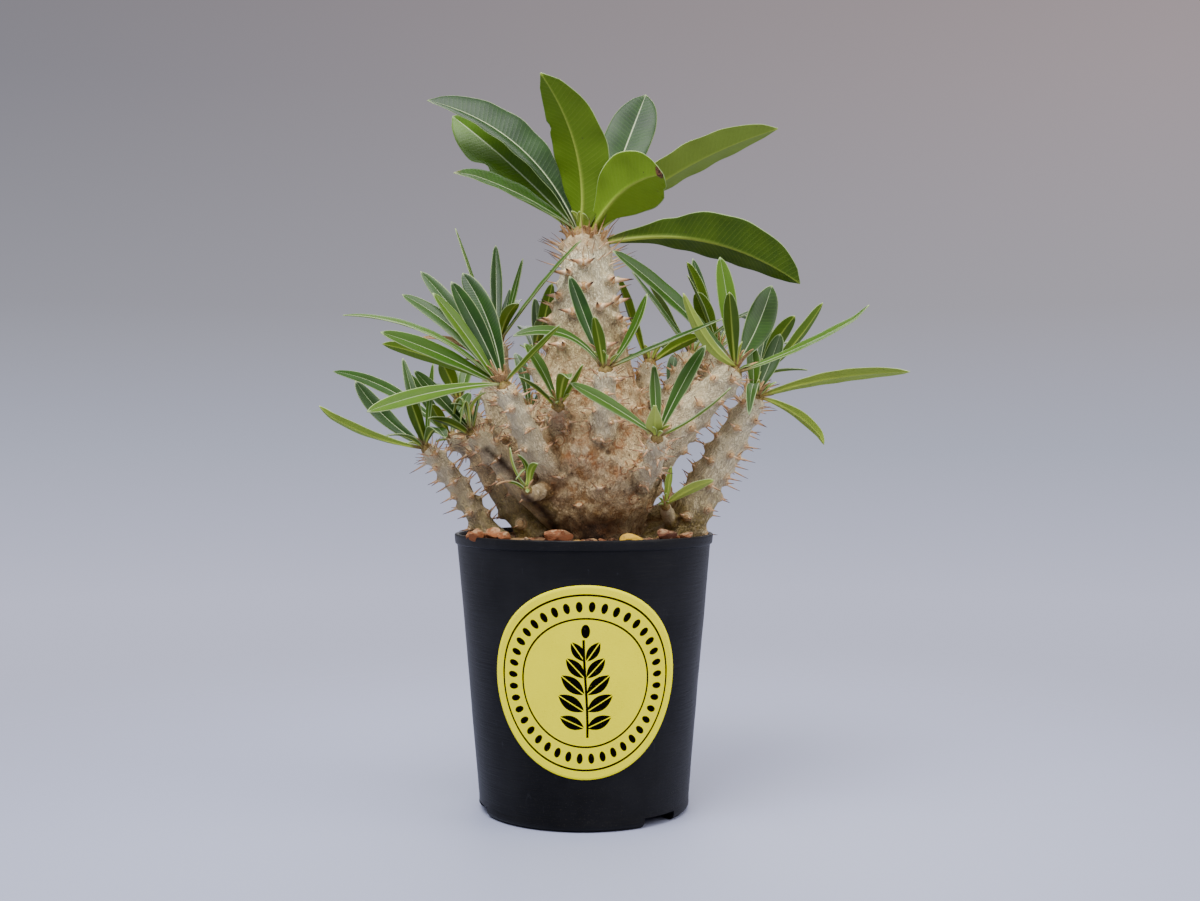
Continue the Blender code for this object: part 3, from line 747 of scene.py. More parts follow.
trunk = {
    "rings": [  # height and radius
        (106, 13), (118, 17.5), (131, 20), (139, 25), (148, 29.5), (160, 31.5), (172, 30),
        (184, 26.5), (196, 22.5), (210, 18.8), (226, 16), (244, 13), (259, 11.4), (265, 9.6)],
    "across": 1.4, "lean": 4.5, "leanTo": 212, "sides": 72, "voxel": 1.03,
    "frontKnobs": [  # across, up and size, of the knobs that face the camera
        (0.2, 251.8, 3.0), (0.2, 240.8, 3.3), (-4.2, 229, 3.2), (17.6, 220.7, 3.5),
        (-10.5, 237.2, 3.2), (-15.6, 226.2, 3.4), (13.9, 234.6, 3.4), (15.6, 226.4, 3.3),
        (12.2, 244.4, 3.2), (9.2, 213.5, 2.8), (-9.5, 214.0, 2.9), (7.3, 231.5, 2.6),
        (-6.8, 247.5, 2.7), (-18.5, 214, 3.0)],
    "boss": (-11.6, -19.5, 182.2, 6.4),  # x, y, z and size, as in stub, scars, holes and stains
    "stub": (-11.2, -34.5, 179.5, 4.6),
    "scars": [(0.7, -29, 170.5, 3.4), (7.5, -31, 159, 3.0), (-14, -26, 151, 3.2),
              (17, -27, 168, 2.6), (3, -32, 163, 2.0), (12, -31, 152, 2.2),
              (-8, -31, 164, 2.0), (22, -24, 158, 2.6), (-20, -24, 157, 2.2)],
    "holes": [(9.3, -30, 169, 1.5), (11.1, -30, 164.6, 1.3), (17, -28.5, 157, 1.0),
              (22, -25, 164, 0.9), (-3, -32.5, 150, 0.9), (26, -20, 151, 1.2),
              (-18, -26, 165, 0.9)],
    "shades": {  # painted shade on the bark of a limb that sits in shadow, partly its browner colour, 0 to 1
        "left": 0.9, "left_low_back": 0.95, "far_left": 0.35, "left_back": 0.65,
        "right_back": 0.4, "left_inner": 0.7, "middle_back": 0.6, "right_inner": 0.3,
        "small_front": 0.75, "sprout_left": 0.85, "sprout_right": 0.7},
    "gaps": [  # across, up and size, along the painted shadow in the groove over the low left limb
        (-44, 166, 1.6), (-37.6, 161.3, 2), (-31.4, 155, 2), (-29.2, 151.2, 1.6),
        (-26.4, 147, 2), (-19.8, 140, 2.4), (-15.4, 135.6, 2.8), (-13, 130, 3)],
    "stains": [(5, -32, 148, 7), (-14, -30, 157, 6), (14, -30, 153, 6), (-4, -33, 163, 5),
               (20, -26, 141, 7), (-6, -30, 139, 7), (0.7, -31, 173, 5), (-20, -24, 143, 6)],
}
# Each limb: radius at both ends, path of its middle from root to tip, and the leaves of its
# crown as tip, width, arch and turn. They are the CAD's, but left_inner, left_low_back and
# right_low_back start deeper in the trunk here. Thorns begin at start, as a share of the
# path, and sharp lengthens them. A bare limb has none.
limbs = {
    "far_left": dict(radius=(7.4, 3.8), sharp=1.15, path=[
        (0, 0, 118), (-27, -4, 117), (-42, -6, 125), (-52.5, -8, 141), (-62, -12, 155),
        (-71, -15, 166)], leaves=[
        (-120, -22, 185, 6.5, -.06, -35), (-106, -5, 198, 8, -.06, 62), (-85, 2, 209, 5, 0, 30),
        (-78, -34, 192, 6, 0, -40), (-69, -12, 206, 4, 0, 0), (-60, -44, 171, 7, .2, 0),
        (-87, -38, 172, 4, .1, 0)]),
    "left": dict(radius=(9.5, 4.5), start=0.1, path=[
        (-20, 0, 124), (-39, 6, 150), (-50, 10, 165), (-62, 14, 171)], leaves=[
        (-85, 8, 203, 9, 0, 45), (-132.6, 80, 207.2, 6.5, .06, 25), (-71, -4, 187, 6.5, 0, -40),
        (-56, 30, 194, 6.5, .05, 20)]),
    "left_inner": dict(radius=(9, 4.6), start=0.34, path=[
        (-2, -3, 132), (-14, -13, 138), (-29, -16, 152), (-41, -16, 165), (-50, -14, 172)], leaves=[
        (-77, -18, 202, 8, 0, 50), (-60, -20, 187, 4, .3, 0), (-47, -12, 193, 4, 0, 0),
        (-68, -38, 180, 6, .05, -20)]),
    "left_front": dict(radius=(6.6, 4.6), path=[
        (-8, -16, 150), (-20, -28, 163), (-28, -38, 180), (-34, -42, 193)], leaves=[
        (-86, -58, 216, 9, .03, 58), (-89, -34, 213, 8, .03, -50), (-107, -30, 226, 7, .1, 18),
        (-83, -14, 237, 7.5, .06, 45), (-64, -56, 233, 8, .02, 62), (-74, -18, 247, 7.5, .03, 52),
        (-58, -38, 240, 8.5, .02, 62), (-54, -28, 245, 10, .07, 62), (-9, -72, 218, 4, 0, 0),
        (-85, -98, 181, 9, .03, 70)]),
    "small_front": dict(radius=(8.5, 4), path=[
        (-8, -12, 171), (-10.5, -23, 178), (-11.2, -32, 185)], leaves=[
        (-26, -36, 213, 7, .04, 55), (-27, -60, 197, 4.5, .03, 10), (0, -48, 203, 5, -.04, 20),
        (-5, -78, 195, 6, .15, 0)]),
    "left_back": dict(radius=(11, 5), path=[
        (-8, 8, 158), (-30, 14, 169), (-42, 19, 190), (-42, 22, 216)], leaves=[
        (-63, 28, 274, 5, 0, 0), (-45, 50, 269, 6, 0, 0), (-30, 26, 259, 4, 0, 0),
        (-37, 40, 246, 4, 0, 0), (-1, -32, 259, 6.5, .02, 55), (-31, -4, 234, 7, .1, 0),
        (-69, 58, 242, 7, .08, 0), (-34, 78, 244, 7, .1, 0)]),
    "inner_back": dict(radius=(7.5, 4.6), path=[
        (-4, 12, 178), (-16, 26, 193), (-24, 36, 211)], leaves=[
        (-25, 46, 242, 7, 0, -30), (-16, 34, 248, 7, 0, -50), (-18, 8, 228, 7, .1, -20),
        (-35, 88, 230, 7, .12, 0)]),
    "middle_front": dict(radius=(6.8, 4.5), path=[
        (8, -16, 160), (9, -31, 178), (10, -39, 200)], leaves=[
        (-30, -50, 215, 6.5, .19, 45), (-6, -34, 243, 7, 0, 60), (5, -56, 223, 5.5, .03, 0),
        (28, -44, 234, 6.5, -.06, 50), (59, -66, 221, 6, 0, 30)]),
    "middle_back": dict(radius=(7, 4.6), path=[
        (10, 4, 174), (26, 11, 189), (31, 14, 206)], leaves=[
        (16, 22, 250, 9.5, 0, -50), (55, 8, 220, 7, .05, -50), (43, 60, 215, 6.5, .15, 0)]),
    "right_inner": dict(radius=(8, 4.8), path=[
        (18, 10, 168), (41, 24, 190), (52, 30, 211)], leaves=[
        (23, 22, 252, 6, 0, 40), (32, 46, 249, 9.5, 0, -45), (87, 8, 234, 5, .08, 30),
        (71, 84, 224, 7, .15, 0)]),
    "right_back": dict(radius=(8.5, 4.8), path=[
        (22, 18, 162), (51, 34, 186), (66, 42, 215)], leaves=[
        (51, 46, 260, 9, .02, -45), (55, 62, 264, 6.5, 0, 0), (50, 26, 251, 6.5, .02, 42),
        (55, 36, 244, 9.5, 0, -40), (85, 92, 236, 7, .12, 0)]),
    "right": dict(radius=(12.5, 6), path=[
        (17, -4, 146), (36, -12, 168), (51, -15, 185), (68, -16, 201)], leaves=[
        (13, -42, 253, 11, .03, 58), (43, -56, 233, 5.5, -.1, -50),
        (62.5, -12, 254.5, 8.5, .02, 55), (64, -42, 235, 7, 0, 0), (89, 10, 244, 14, -.05, 55),
        (126, -44, 227.5, 7.5, -.03, 38)]),
    "right_low_back": dict(radius=(8, 4.6), sharp=1.3, path=[
        (8, 4, 124), (26, 12, 128), (58, 20, 148), (76, 27, 175), (85, 34, 201)], leaves=[
        (102, 24, 231, 8, .05, -55), (118, 40, 239, 8, -.04, -50), (109, 30, 205, 6, .05, 0),
        (98, 64, 243, 7, .05, 0), (110, 98, 222, 7, .1, 0)]),
    "far_right": dict(radius=(12.4, 5.4), path=[
        (10, 2, 119), (41, 4, 124), (54.5, 0, 146), (65.5, -3, 167), (79, -4, 189)], leaves=[
        (134.5, -80, 198, 7.5, .03, -42), (111, -14, 169, 6.5, .08, -50), (78, -2, 215, 7, .05, 0),
        (93, 10, 221, 8, -.03, 50), (72, -48, 181, 5, .2, 0)]),
    "low_front": dict(radius=(5.6, 3.6), path=[
        (24, -14, 148), (30, -35, 158), (32, -51, 170.5)], leaves=[
        (-5, -66, 194, 7, .02, 60), (31, -44, 203, 5, 0, 10), (30.5, -66, 184.5, 6.2, .05, 0),
        (53, -50, 211, 7, .02, 60), (62, -70, 192, 4, -.05, 12)]),
    "left_low_back": dict(radius=(8.5, 4.6), path=[
        (-2, 8, 128), (-16, 23, 137), (-42, 38, 166), (-58, 40, 181), (-62, 40, 189)], leaves=[
        (-70, 28, 209, 8, .04, -40), (-58, 50, 210, 7, .02, 0), (-82, 60, 199, 6.5, .1, 0),
        (-73, 92, 203, 7, .15, 0)]),
    "back": dict(radius=(9, 5), path=[
        (4, 18, 168), (4, 46, 186), (3, 62, 200)], leaves=[
        (-14, 92, 231, 8, .1, 0), (18, 96, 234, 8, .1, 0), (2, 80, 232, 8, .05, 0),
        (-16, 70, 222, 6.5, .1, 0), (28, 72, 216, 6.5, .1, 0)]),
    "back_left": dict(radius=(9, 4.8), path=[
        (-6, 20, 150), (-23, 58, 171), (-29, 76, 186)], leaves=[
        (-56, 98, 203, 7, .1, 0), (-38, 98, 218, 7, .1, 0), (-12, 98, 206, 7, .1, 0),
        (-50, 74, 200, 6.5, .2, 0)]),
    "back_right": dict(radius=(9, 4.8), path=[
        (14, 20, 152), (38, 56, 173), (43, 72, 189)], leaves=[
        (26, 98, 208, 7, .1, 0), (48, 98, 218, 7, .1, 0), (74, 92, 203, 7, .15, 0),
        (62, 66, 208, 6.5, .1, 0)]),
    "sprout_right": dict(radius=(4.5, 2.6), bare=True, path=[
        (42, 0, 131), (39, -9, 136), (37.5, -15, 140)], leaves=[
        (58.5, -26, 152.5, 5.5, .03, -45), (39.6, -22, 158.7, 3.5, 0, 0)]),
    "sprout_left": dict(radius=(5, 2.6), bare=True, path=[
        (-14, -16, 150), (-23, -34, 146), (-24, -43, 148)], leaves=[
        (-28, -50, 164, 3.5, 0, 10), (-37, -54, 151, 3.5, .15, 0), (-19, -56, 160, 3.5, 0, -20)]),
}
topLeaves = [
    (-75, 15, 333, 24, .09, 38), (-65, 34, 330, 26, .02, 68), (-59, -14, 294, 17, .05, 34),
    (-19, -30, 334, 30, .09, 0), (30, 32, 340, 24, 0, 30), (35, -44, 286, 30, .12, -50),
    (90, -5, 315, 24, .06, -40), (99, -14, 242, 27, .1, -45), (-13, 62, 304, 20, .1, 0),
    (19, 66, 300, 20, .1, 0)]


def smoothPath(points, count):  # evenly spaced in parameter on a curve through the points
    points = [Vector(point) for point in points]
    last = len(points) - 1
    tangents = [(points[min(i + 1, last)] - points[max(i - 1, 0)]) / 2 for i in range(last + 1)]
    line = []
    for k in range(count + 1):
        place = k / count * last
        i = min(int(place), last - 1)
        t = place - i
        start, end = points[i], points[i + 1]
        first, second = start + tangents[i] / 3, end - tangents[i + 1] / 3
        line.append((1 - t) ** 3 * start + 3 * t * (1 - t) ** 2 * first
                    + 3 * t * t * (1 - t) * second + t ** 3 * end)
    return line


def trunkMiddle(height):
    t = min(max((trunk["leanTo"] - height) / 70, 0), 1)
    return trunk["across"] + trunk["lean"] * t * t * (3 - 2 * t)


def trunkAt(height):
    return Vector((trunkMiddle(height), 0, height))


def trunkRadius(height):
    heights, radii = zip(*trunk["rings"])
    return float(np.interp(height, heights, radii))


def limbLine(limb, spans=10):
    count = spans * (len(limb["path"]) - 1)
    foot, tip = limb["radius"]
    radii = [foot + (tip - foot) * (k / count) ** 0.8 for k in range(count + 1)]
    return smoothPath(limb["path"], count), radii


class Shell:  # points and faces of many closed shapes that become one mesh
    def __init__(self):
        self.points, self.faces = [], []

    def rings(self, rings):  # closed tube through equal rings of points, capped at both ends
        start, sides = len(self.points), len(rings[0])
        for ring in rings:
            self.points.extend(ring)
        for row in range(len(rings) - 1):
            for k in range(sides):
                a, b = start + row * sides + k, start + row * sides + (k + 1) % sides
                self.faces.append((a, b, b + sides, a + sides))
        self.faces.append(tuple(reversed(range(start, start + sides))))
        last = start + (len(rings) - 1) * sides
        self.faces.append(tuple(range(last, last + sides)))

    def blob(self, middle, axes, sides=12, rows=7):  # ellipsoid on three axis vectors
        self.rings([[middle + axes[0] * x + axes[1] * y - axes[2] * math.cos(a)
                     for x, y in circle(math.sin(a), sides)]
                    for a in (math.pi * (row + 0.5) / rows for row in range(rows))])


def crossAxes(along):
    side = along.cross(Vector((0, 1, 0) if abs(along.y) < 0.9 else (1, 0, 0))).normalized()
    return side, along.cross(side).normalized()


thorn = {  # lengths are ranges, girth is the foot's radius
    "spiral": 44, "base": 64, "collar": 60, "tip": 18,  # how many of each
    "pairGap": 3.4524, "start": 0.3, "end": 0.96,
    "knobLength": 6.6, "knobGirth": 1.7, "baseLength": (3.4, 5.6), "collarLength": (7.5, 14.5),
    "limbLength": (4.3, 2.2), "tipLength": (3.4, 6.6), "girth": 0.72, "fineGirth": 0.46,
    "spiralRise": (150, 111), "baseRise": (137, 62), "collarRise": (250, 17),  # from and how far up
    "knobFront": (204, 257), "sink": 1.3, "seed": 7,
}


class Thorns:  # thorns as root, aim, length, girth, bend and lean, and the knobs under them
    def __init__(self):
        self.chance = random.Random(thorn["seed"])
        self.thorns, self.knobs = [], []

    def pair(self, place, out, along, length, girth, knob):
        uniform = self.chance.uniform
        side = out.cross(along).normalized()
        self.knobs.append((place, out, side, knob))
        rise = uniform(-0.05, 0.35)
        for sign in (-1, 1):
            aim = (out + uniform(0.6, 1.0) * sign * side + rise * along).normalized()
            lean = (out * 0.6 + along * 0.5 - side * sign * 0.3).normalized()
            self.thorns.append((place + side * sign * knob * 0.5 + out * knob * 0.5, aim,
                                length * uniform(0.6, 1.15), girth, uniform(0.1, 0.42), lean))

    def single(self, place, aim, length, bend):
        way = Vector([self.chance.uniform(-1, 1) for _ in range(3)])
        lean = aim.cross(way).normalized()
        self.thorns.append((place, aim, length, thorn["fineGirth"], bend, lean))

    def rise(self, row, t):  # height at t, 0 to 1, up a row of thorns
        low, more = thorn[row + "Rise"]
        return low + more * t

    def onTrunk(self):
        uniform = self.chance.uniform
        upward = Vector((0, 0, 1))
        for x, z, size in trunk["frontKnobs"]:
            radius = trunkRadius(z) + 0.5
            dx = max(min((x - trunkMiddle(z)) / radius, 0.97), -0.97)
            out = Vector((dx, -math.sqrt(1 - dx * dx), 0))
            self.pair(trunkAt(z) + out * radius, out, upward,
                      thorn["knobLength"] + (z - 214) * 0.05, thorn["knobGirth"], size)
        for k in range(thorn["spiral"]):
            t = k / (thorn["spiral"] - 1)
            height, out = self.rise("spiral", t ** 0.8), around(k * golden + 0.4)
            if out.y < -0.25 and thorn["knobFront"][0] < height < thorn["knobFront"][1]:
                continue  # the front knobs stand here
            place = out * (trunkRadius(height) + 0.6) + trunkAt(height)
            tilt = (out + upward * (0.1 + 1.2 * max(t - 0.75, 0))).normalized()
            self.pair(place, tilt, upward, 4.8 + 4.8 * t, 0.45 + 0.3 * t, 3.0 - 0.8 * (1 - t))
        for k in range(thorn["base"]):
            height = self.rise("base", k / (thorn["base"] - 1))
            out = around(k * golden + 1.1)
            self.pair(out * (trunkRadius(height) + 0.4) + trunkAt(height),
                      (out + upward * uniform(-0.2, 0.3)).normalized(), upward,
                      uniform(*thorn["baseLength"]), thorn["girth"], uniform(1.7, 2.5))
        for k in range(thorn["collar"]):  # crowded thorns under the top crown
            height = self.rise("collar", k / (thorn["collar"] - 1))
            out = around(k * golden)
            reach = trunkRadius(min(height, 264)) * (1.0 if k < 40 else 0.85) - 0.2
            aim = (out + upward * (uniform(0.1, 0.9) + 1.2 * (k > 40))).normalized()
            self.single(out * reach + Vector((trunk["across"], 0, height)), aim,
                        uniform(*thorn["collarLength"]), uniform(-0.4, 0.4))

    def onLimb(self, number, limb):
        uniform = self.chance.uniform
        line, radii = limbLine(limb)
        length = sum((b - a).length for a, b in zip(line, line[1:]))
        pairs, start = round(length / thorn["pairGap"]), limb.get("start", thorn["start"])
        shortest, more = thorn["limbLength"]
        for k in range(pairs):
            place = (start + (thorn["end"] - start) * (k + 0.5) / pairs) * (len(line) - 1)
            i = int(place)
            here = line[i].lerp(line[i + 1], place - i)
            along = (line[i + 1] - line[i]).normalized()
            out = Matrix.Rotation(number * 1.3 + k * golden, 3, along) @ crossAxes(along)[0]
            if here.z > soil["top"] + 7:
                length = (shortest + more * k / pairs) * limb.get("sharp", 1)
                self.pair(here + out * (radii[i] + 0.1), out, along, length, thorn["girth"],
                          1.6 + 0.14 * radii[i])
        along = (line[-1] - line[-2]).normalized()
        for k in range(thorn["tip"]):  # round the tip, under the crown
            out = Matrix.Rotation(k * golden + number, 3, along) @ crossAxes(along)[0]
            aim = (out + along * uniform(0.2, 1.3)).normalized()
            place = line[-1] - along * uniform(-1.6, 3.4) + out * radii[-1] * 0.9
            self.single(place, aim, uniform(*thorn["tipLength"]), uniform(-0.5, 0.5))


def barkFinish():
    look = Finish("bark", Specular=0.25)
    where = look.place()
    grain = look.attribute("grain", "Vector")
    names = ("pale", "knob", "scar", "relief", "hole", "damp", "dark", "stain", "form", "moss",
             "between", "crest")
    pale, knob, scar, relief, hole, damp, dark, stain, form, moss, between, crest = map(
        look.attribute, names)
    cloud = look.noise(where, 0.045, 4, 0.6)
    patch = look.noise(where, 0.13, 5, 0.66, 0.5)
    rust = look.noise(where, 0.09, 5, 0.72, 0.9)
    speck = look.noise(where, 1.3, 4, 0.7)
    folds = look.noise(look.stretch(grain, 0.34, 0.34, 0.16), 1.0, 5, 0.68, 0.9)

    def ridge(across, ahead, warp, width):  # dark winding lines where the noise crosses its middle
        wander = look.noise(look.stretch(grain, across, across, ahead), 1.0, 2, 0.5, warp)
        return 1 - (wander - 0.5).abs().ramp(0.0, width)

    def patches(low, high, start=0.36, end=0.6):
        return look.mix(patch.ramp(start, end), low, high)

    crease = ridge(0.6, 0.3, 0.8, 0.11).max(ridge(0.8, 0.6, 1.2, 0.08) * 0.7)
    crease = crease * (0.55 + folds.ramp(0.3, 0.62) * 0.45)
    belly = look.coats(
        patches((170, 118, 64), (244, 216, 164), 0.3, 0.58),
        # pale cloud patches: painted highlights on the belly
        (cloud.ramp(0.5, 0.7) * 0.5, (232, 212, 162)),
        (rust.ramp(0.54, 0.62) * 0.6, (184, 116, 60)))
    column = look.coats(
        (208, 192, 146), (folds.ramp(0.25, 0.6), (250, 240, 202)),
        (rust.ramp(0.62, 0.75) * 0.35, (200, 160, 116)))
    ink = look.mix(pale, (96, 66, 36), (116, 98, 70))
    # crease lines darker where limbs carry painted shade, and in moss
    ink = look.mix(dark.max(moss) * 0.7, ink, (50, 34, 18))
    # dark dots: painted shade in small pits
    pits = (1 - look.cells(where, 0.26).ramp(0.1, 0.24)) * patch.ramp(0.4, 0.52)
    # small pale flecks: painted glints
    glint_flecks = 1 - look.cells(look.stretch(where, 1.3, 1.3, 1.3), 0.26).ramp(0.12, 0.3)
    ring = knob.ramp(0.5, 0.6) * (1 - knob.ramp(0.62, 0.68))
    halo = knob.ramp(0.12, 0.3) * (1 - knob.ramp(0.34, 0.5))
    few = 1 - pale * 0.6
    base = look.coats(
        belly, (pale, column),
        (between * 0.75, patches((128, 104, 56), (186, 168, 112))),
        (stain * rust.ramp(0.42, 0.6) * 0.4,
         look.mix(speck, (158, 98, 54), (190, 132, 82))),
        # painted shade on limbs in shadow, in brown bark colours
        (dark * 0.85, patches((102, 68, 34), (184, 140, 88))),
        (moss * rust.ramp(0.32, 0.54) * 0.85,
         look.mix(speck, (112, 94, 28), (176, 156, 76))),
        (crease * (0.64 + pale * 0.14), ink),
        (speck.ramp(0.62, 0.76) * 0.6 * few, (108, 78, 48)),
        # painted shade in small pits
        (pits * 0.7 * (1 - pale * 0.75), (72, 44, 24)),
        # painted glints
        (glint_flecks * (1 - patch.ramp(0.4, 0.56)) * 0.6 * few, (246, 220, 170)),
        (crest * patch.ramp(0.3, 0.6), look.mix(speck, (128, 84, 44), (196, 160, 108))),
        # painted shade in small hollows and painted highlight on small ridges, by how far the bark
        # stands out
        ((0.5 - relief).ramp(0.04, 0.45) * (0.5 - pale * 0.2), (88, 60, 34)),
        ((relief - 0.5).ramp(0.05, 0.45) * 0.35, (230, 210, 168)),
        # painted shade in broad hollows and painted highlight on the bulges
        ((0.5 - form).ramp(0.02, 0.4) * (0.75 - pale * 0.3),
         patches((92, 58, 30), (150, 106, 64))),
        ((form - 0.5).ramp(0.08, 0.5) * (0.2 + cloud.ramp(0.4, 0.6) * 0.25), (224, 210, 172)),
        (knob.ramp(0.2, 0.5) * 0.55, (230, 202, 150)),
        (halo * rust.ramp(0.4, 0.55) * 0.65 * few, (164, 100, 54)),
        (ring * (0.4 + pale * 0.4), (120, 78, 46)),
        (knob.ramp(0.64, 0.72) * (0.3 + pale * 0.6),
         look.mix(speck, (186, 124, 66), (230, 186, 128))),
        (scar * 0.75, patches((190, 116, 62), (140, 84, 44), 0.4, 0.6)),
        # painted shade in the recess under the caudex and in the groove between the low left limbs
        (damp * (0.8 + cloud * 0.4), patches((46, 28, 14), (96, 62, 34), 0.4, 0.62)),
        # near black in the holes: painted shade inside them
        (hole * 0.95, (24, 17, 13)))
    look.set(BaseColor=base, Roughness=0.6 + speck * 0.3)
    look.bump((1 - crease) * 0.8 + folds * 0.6 + speck * 0.3, 1.1, 0.75)
    return look


def thornFinish():
    look = Finish("thorns", Specular=0.35)
    along, tint = look.attribute("along"), look.attribute("tint")
    worn = look.noise(look.place(), 0.9, 3, 0.6)
    look.set(BaseColor=look.coats(
        (232, 208, 170), (along.ramp(0.12, 0.5), (196, 150, 106)),
        (along.ramp(0.45, 0.88) * (0.35 + tint * 0.65), (98, 58, 42)),
        (along.ramp(0.66, 0.94) * 0.92, (40, 24, 18)),
        (worn.ramp(0.55, 0.75) * 0.4, (120, 84, 54))), Roughness=0.42 + worn * 0.25)
    look.bump(look.noise(look.place(2.5, 2.5, 2.5), 1.0, 2, 0.5), 0.12, 0.5)
    return look


def trunkRings():
    outline = smoothPath([(r, 0, h) for h, r in trunk["rings"]], 160)
    heights, radii = [p.z for p in outline], [p.x for p in outline]
    rings = []
    for h in np.arange(trunk["rings"][0][0], trunk["rings"][-1][0] + 0.01, 1.5):
        radius, swell = float(np.interp(h, heights, radii)), math.exp(-((h - 158) / 30) ** 2)
        rings.append([])
        for k in range(trunk["sides"]):
            a = tau * k / trunk["sides"]
            lump = 1.3 * math.sin(3 * a + h / 9) + 0.9 * math.sin(5 * a - h / 6 + 1)
            reach = radius + swell * lump + 0.35 * math.sin(9 * a + h / 14)
            rings[-1].append(Vector((trunkMiddle(h) + reach * math.cos(a), reach * math.sin(a), h)))
    top, centre = rings[-1], trunkAt(trunk["rings"][-1][0])
    for k in range(1, 5):
        a = math.pi / 2 * k / 4.4
        rise = Vector((0, 0, 1.6 * math.sin(a)))
        rings.append([centre + (p - centre) * math.cos(a) + rise for p in top])
    return rings


def barkShell(knobs):  # closed shapes that are merged into the bark, and samples of their middles
    shell = Shell()
    shell.rings(trunkRings())
    samples = [(trunkAt(h), trunkRadius(h), Vector((1, 0, 0)), Vector((0, 1, 0)), h, 0,
                float(ease((h - 184) / 56))) for h in np.arange(108, 266, 2.0)]
    for number, limb in enumerate(limbs.values()):
        line, radii = limbLine(limb)
        length, rings = 0.0, []
        for i, (here, radius) in enumerate(zip(line, radii)):
            along = (line[min(i + 1, len(line) - 1)] - line[max(i - 1, 0)]).normalized()
            side, up = crossAxes(along)
            if i:
                length += (here - line[i - 1]).length
            swell = radius * (1 + 0.05 * noise.noise(Vector((number * 5, length * 0.12, 0))))
            rings.append([here + (side * x + up * y) * swell for x, y in circle(1, 24)])
            samples.append((here, radius, side, up, length, number + 1,
                            (0.38 + 0.52 * i / len(line)) * (not limb.get("bare"))))
        for k in range(1, 4):
            a = math.pi / 2 * k / 3.3
            rings.append([here + (p - here) * math.cos(a) + along * radius * 0.35 * math.sin(a)
                          for p in rings[-k]])
        shell.rings(rings)
    for place, out, side, size in knobs:
        up = out.cross(side).normalized()
        shell.blob(place - out * 0.6, (side * size * 1.2, up * size * 1.0, out * size * 0.95))
    x, y, z, size = trunk["boss"]
    shell.blob(Vector((x, y, z)),
               (Vector((size, 0, 0)), Vector((0, 0, size)), Vector((0, -size, 0))), 20, 12)
    return shell, samples


def fractal(places, scale, seed, octaves=3):
    shift = Vector((seed, seed * 1.7, 0))
    return np.array([noise.fractal(Vector(p) + shift, 0.8, 2.0, octaves)
                     for p in (places * scale).tolist()])


def gapShadeShare(points, rough):  # 1 in the painted shadow of the gaps between limbs, 0 away from them
    gap_shade, here = np.zeros(len(points)), points[:, [0, 2]]
    for (x, z, size), (x2, z2, _) in zip(trunk["gaps"], trunk["gaps"][1:]):
        step, away = np.array((x2 - x, z2 - z)), here - (x, z)
        reach = np.clip(away @ step / (step @ step), 0, 1)
        away = away - reach[:, None] * step
        near = np.exp(-((away ** 2).sum(1)) / (size * (1 + 0.5 * rough)) ** 2)
        gap_shade = np.maximum(gap_shade, near)
    return gap_shade


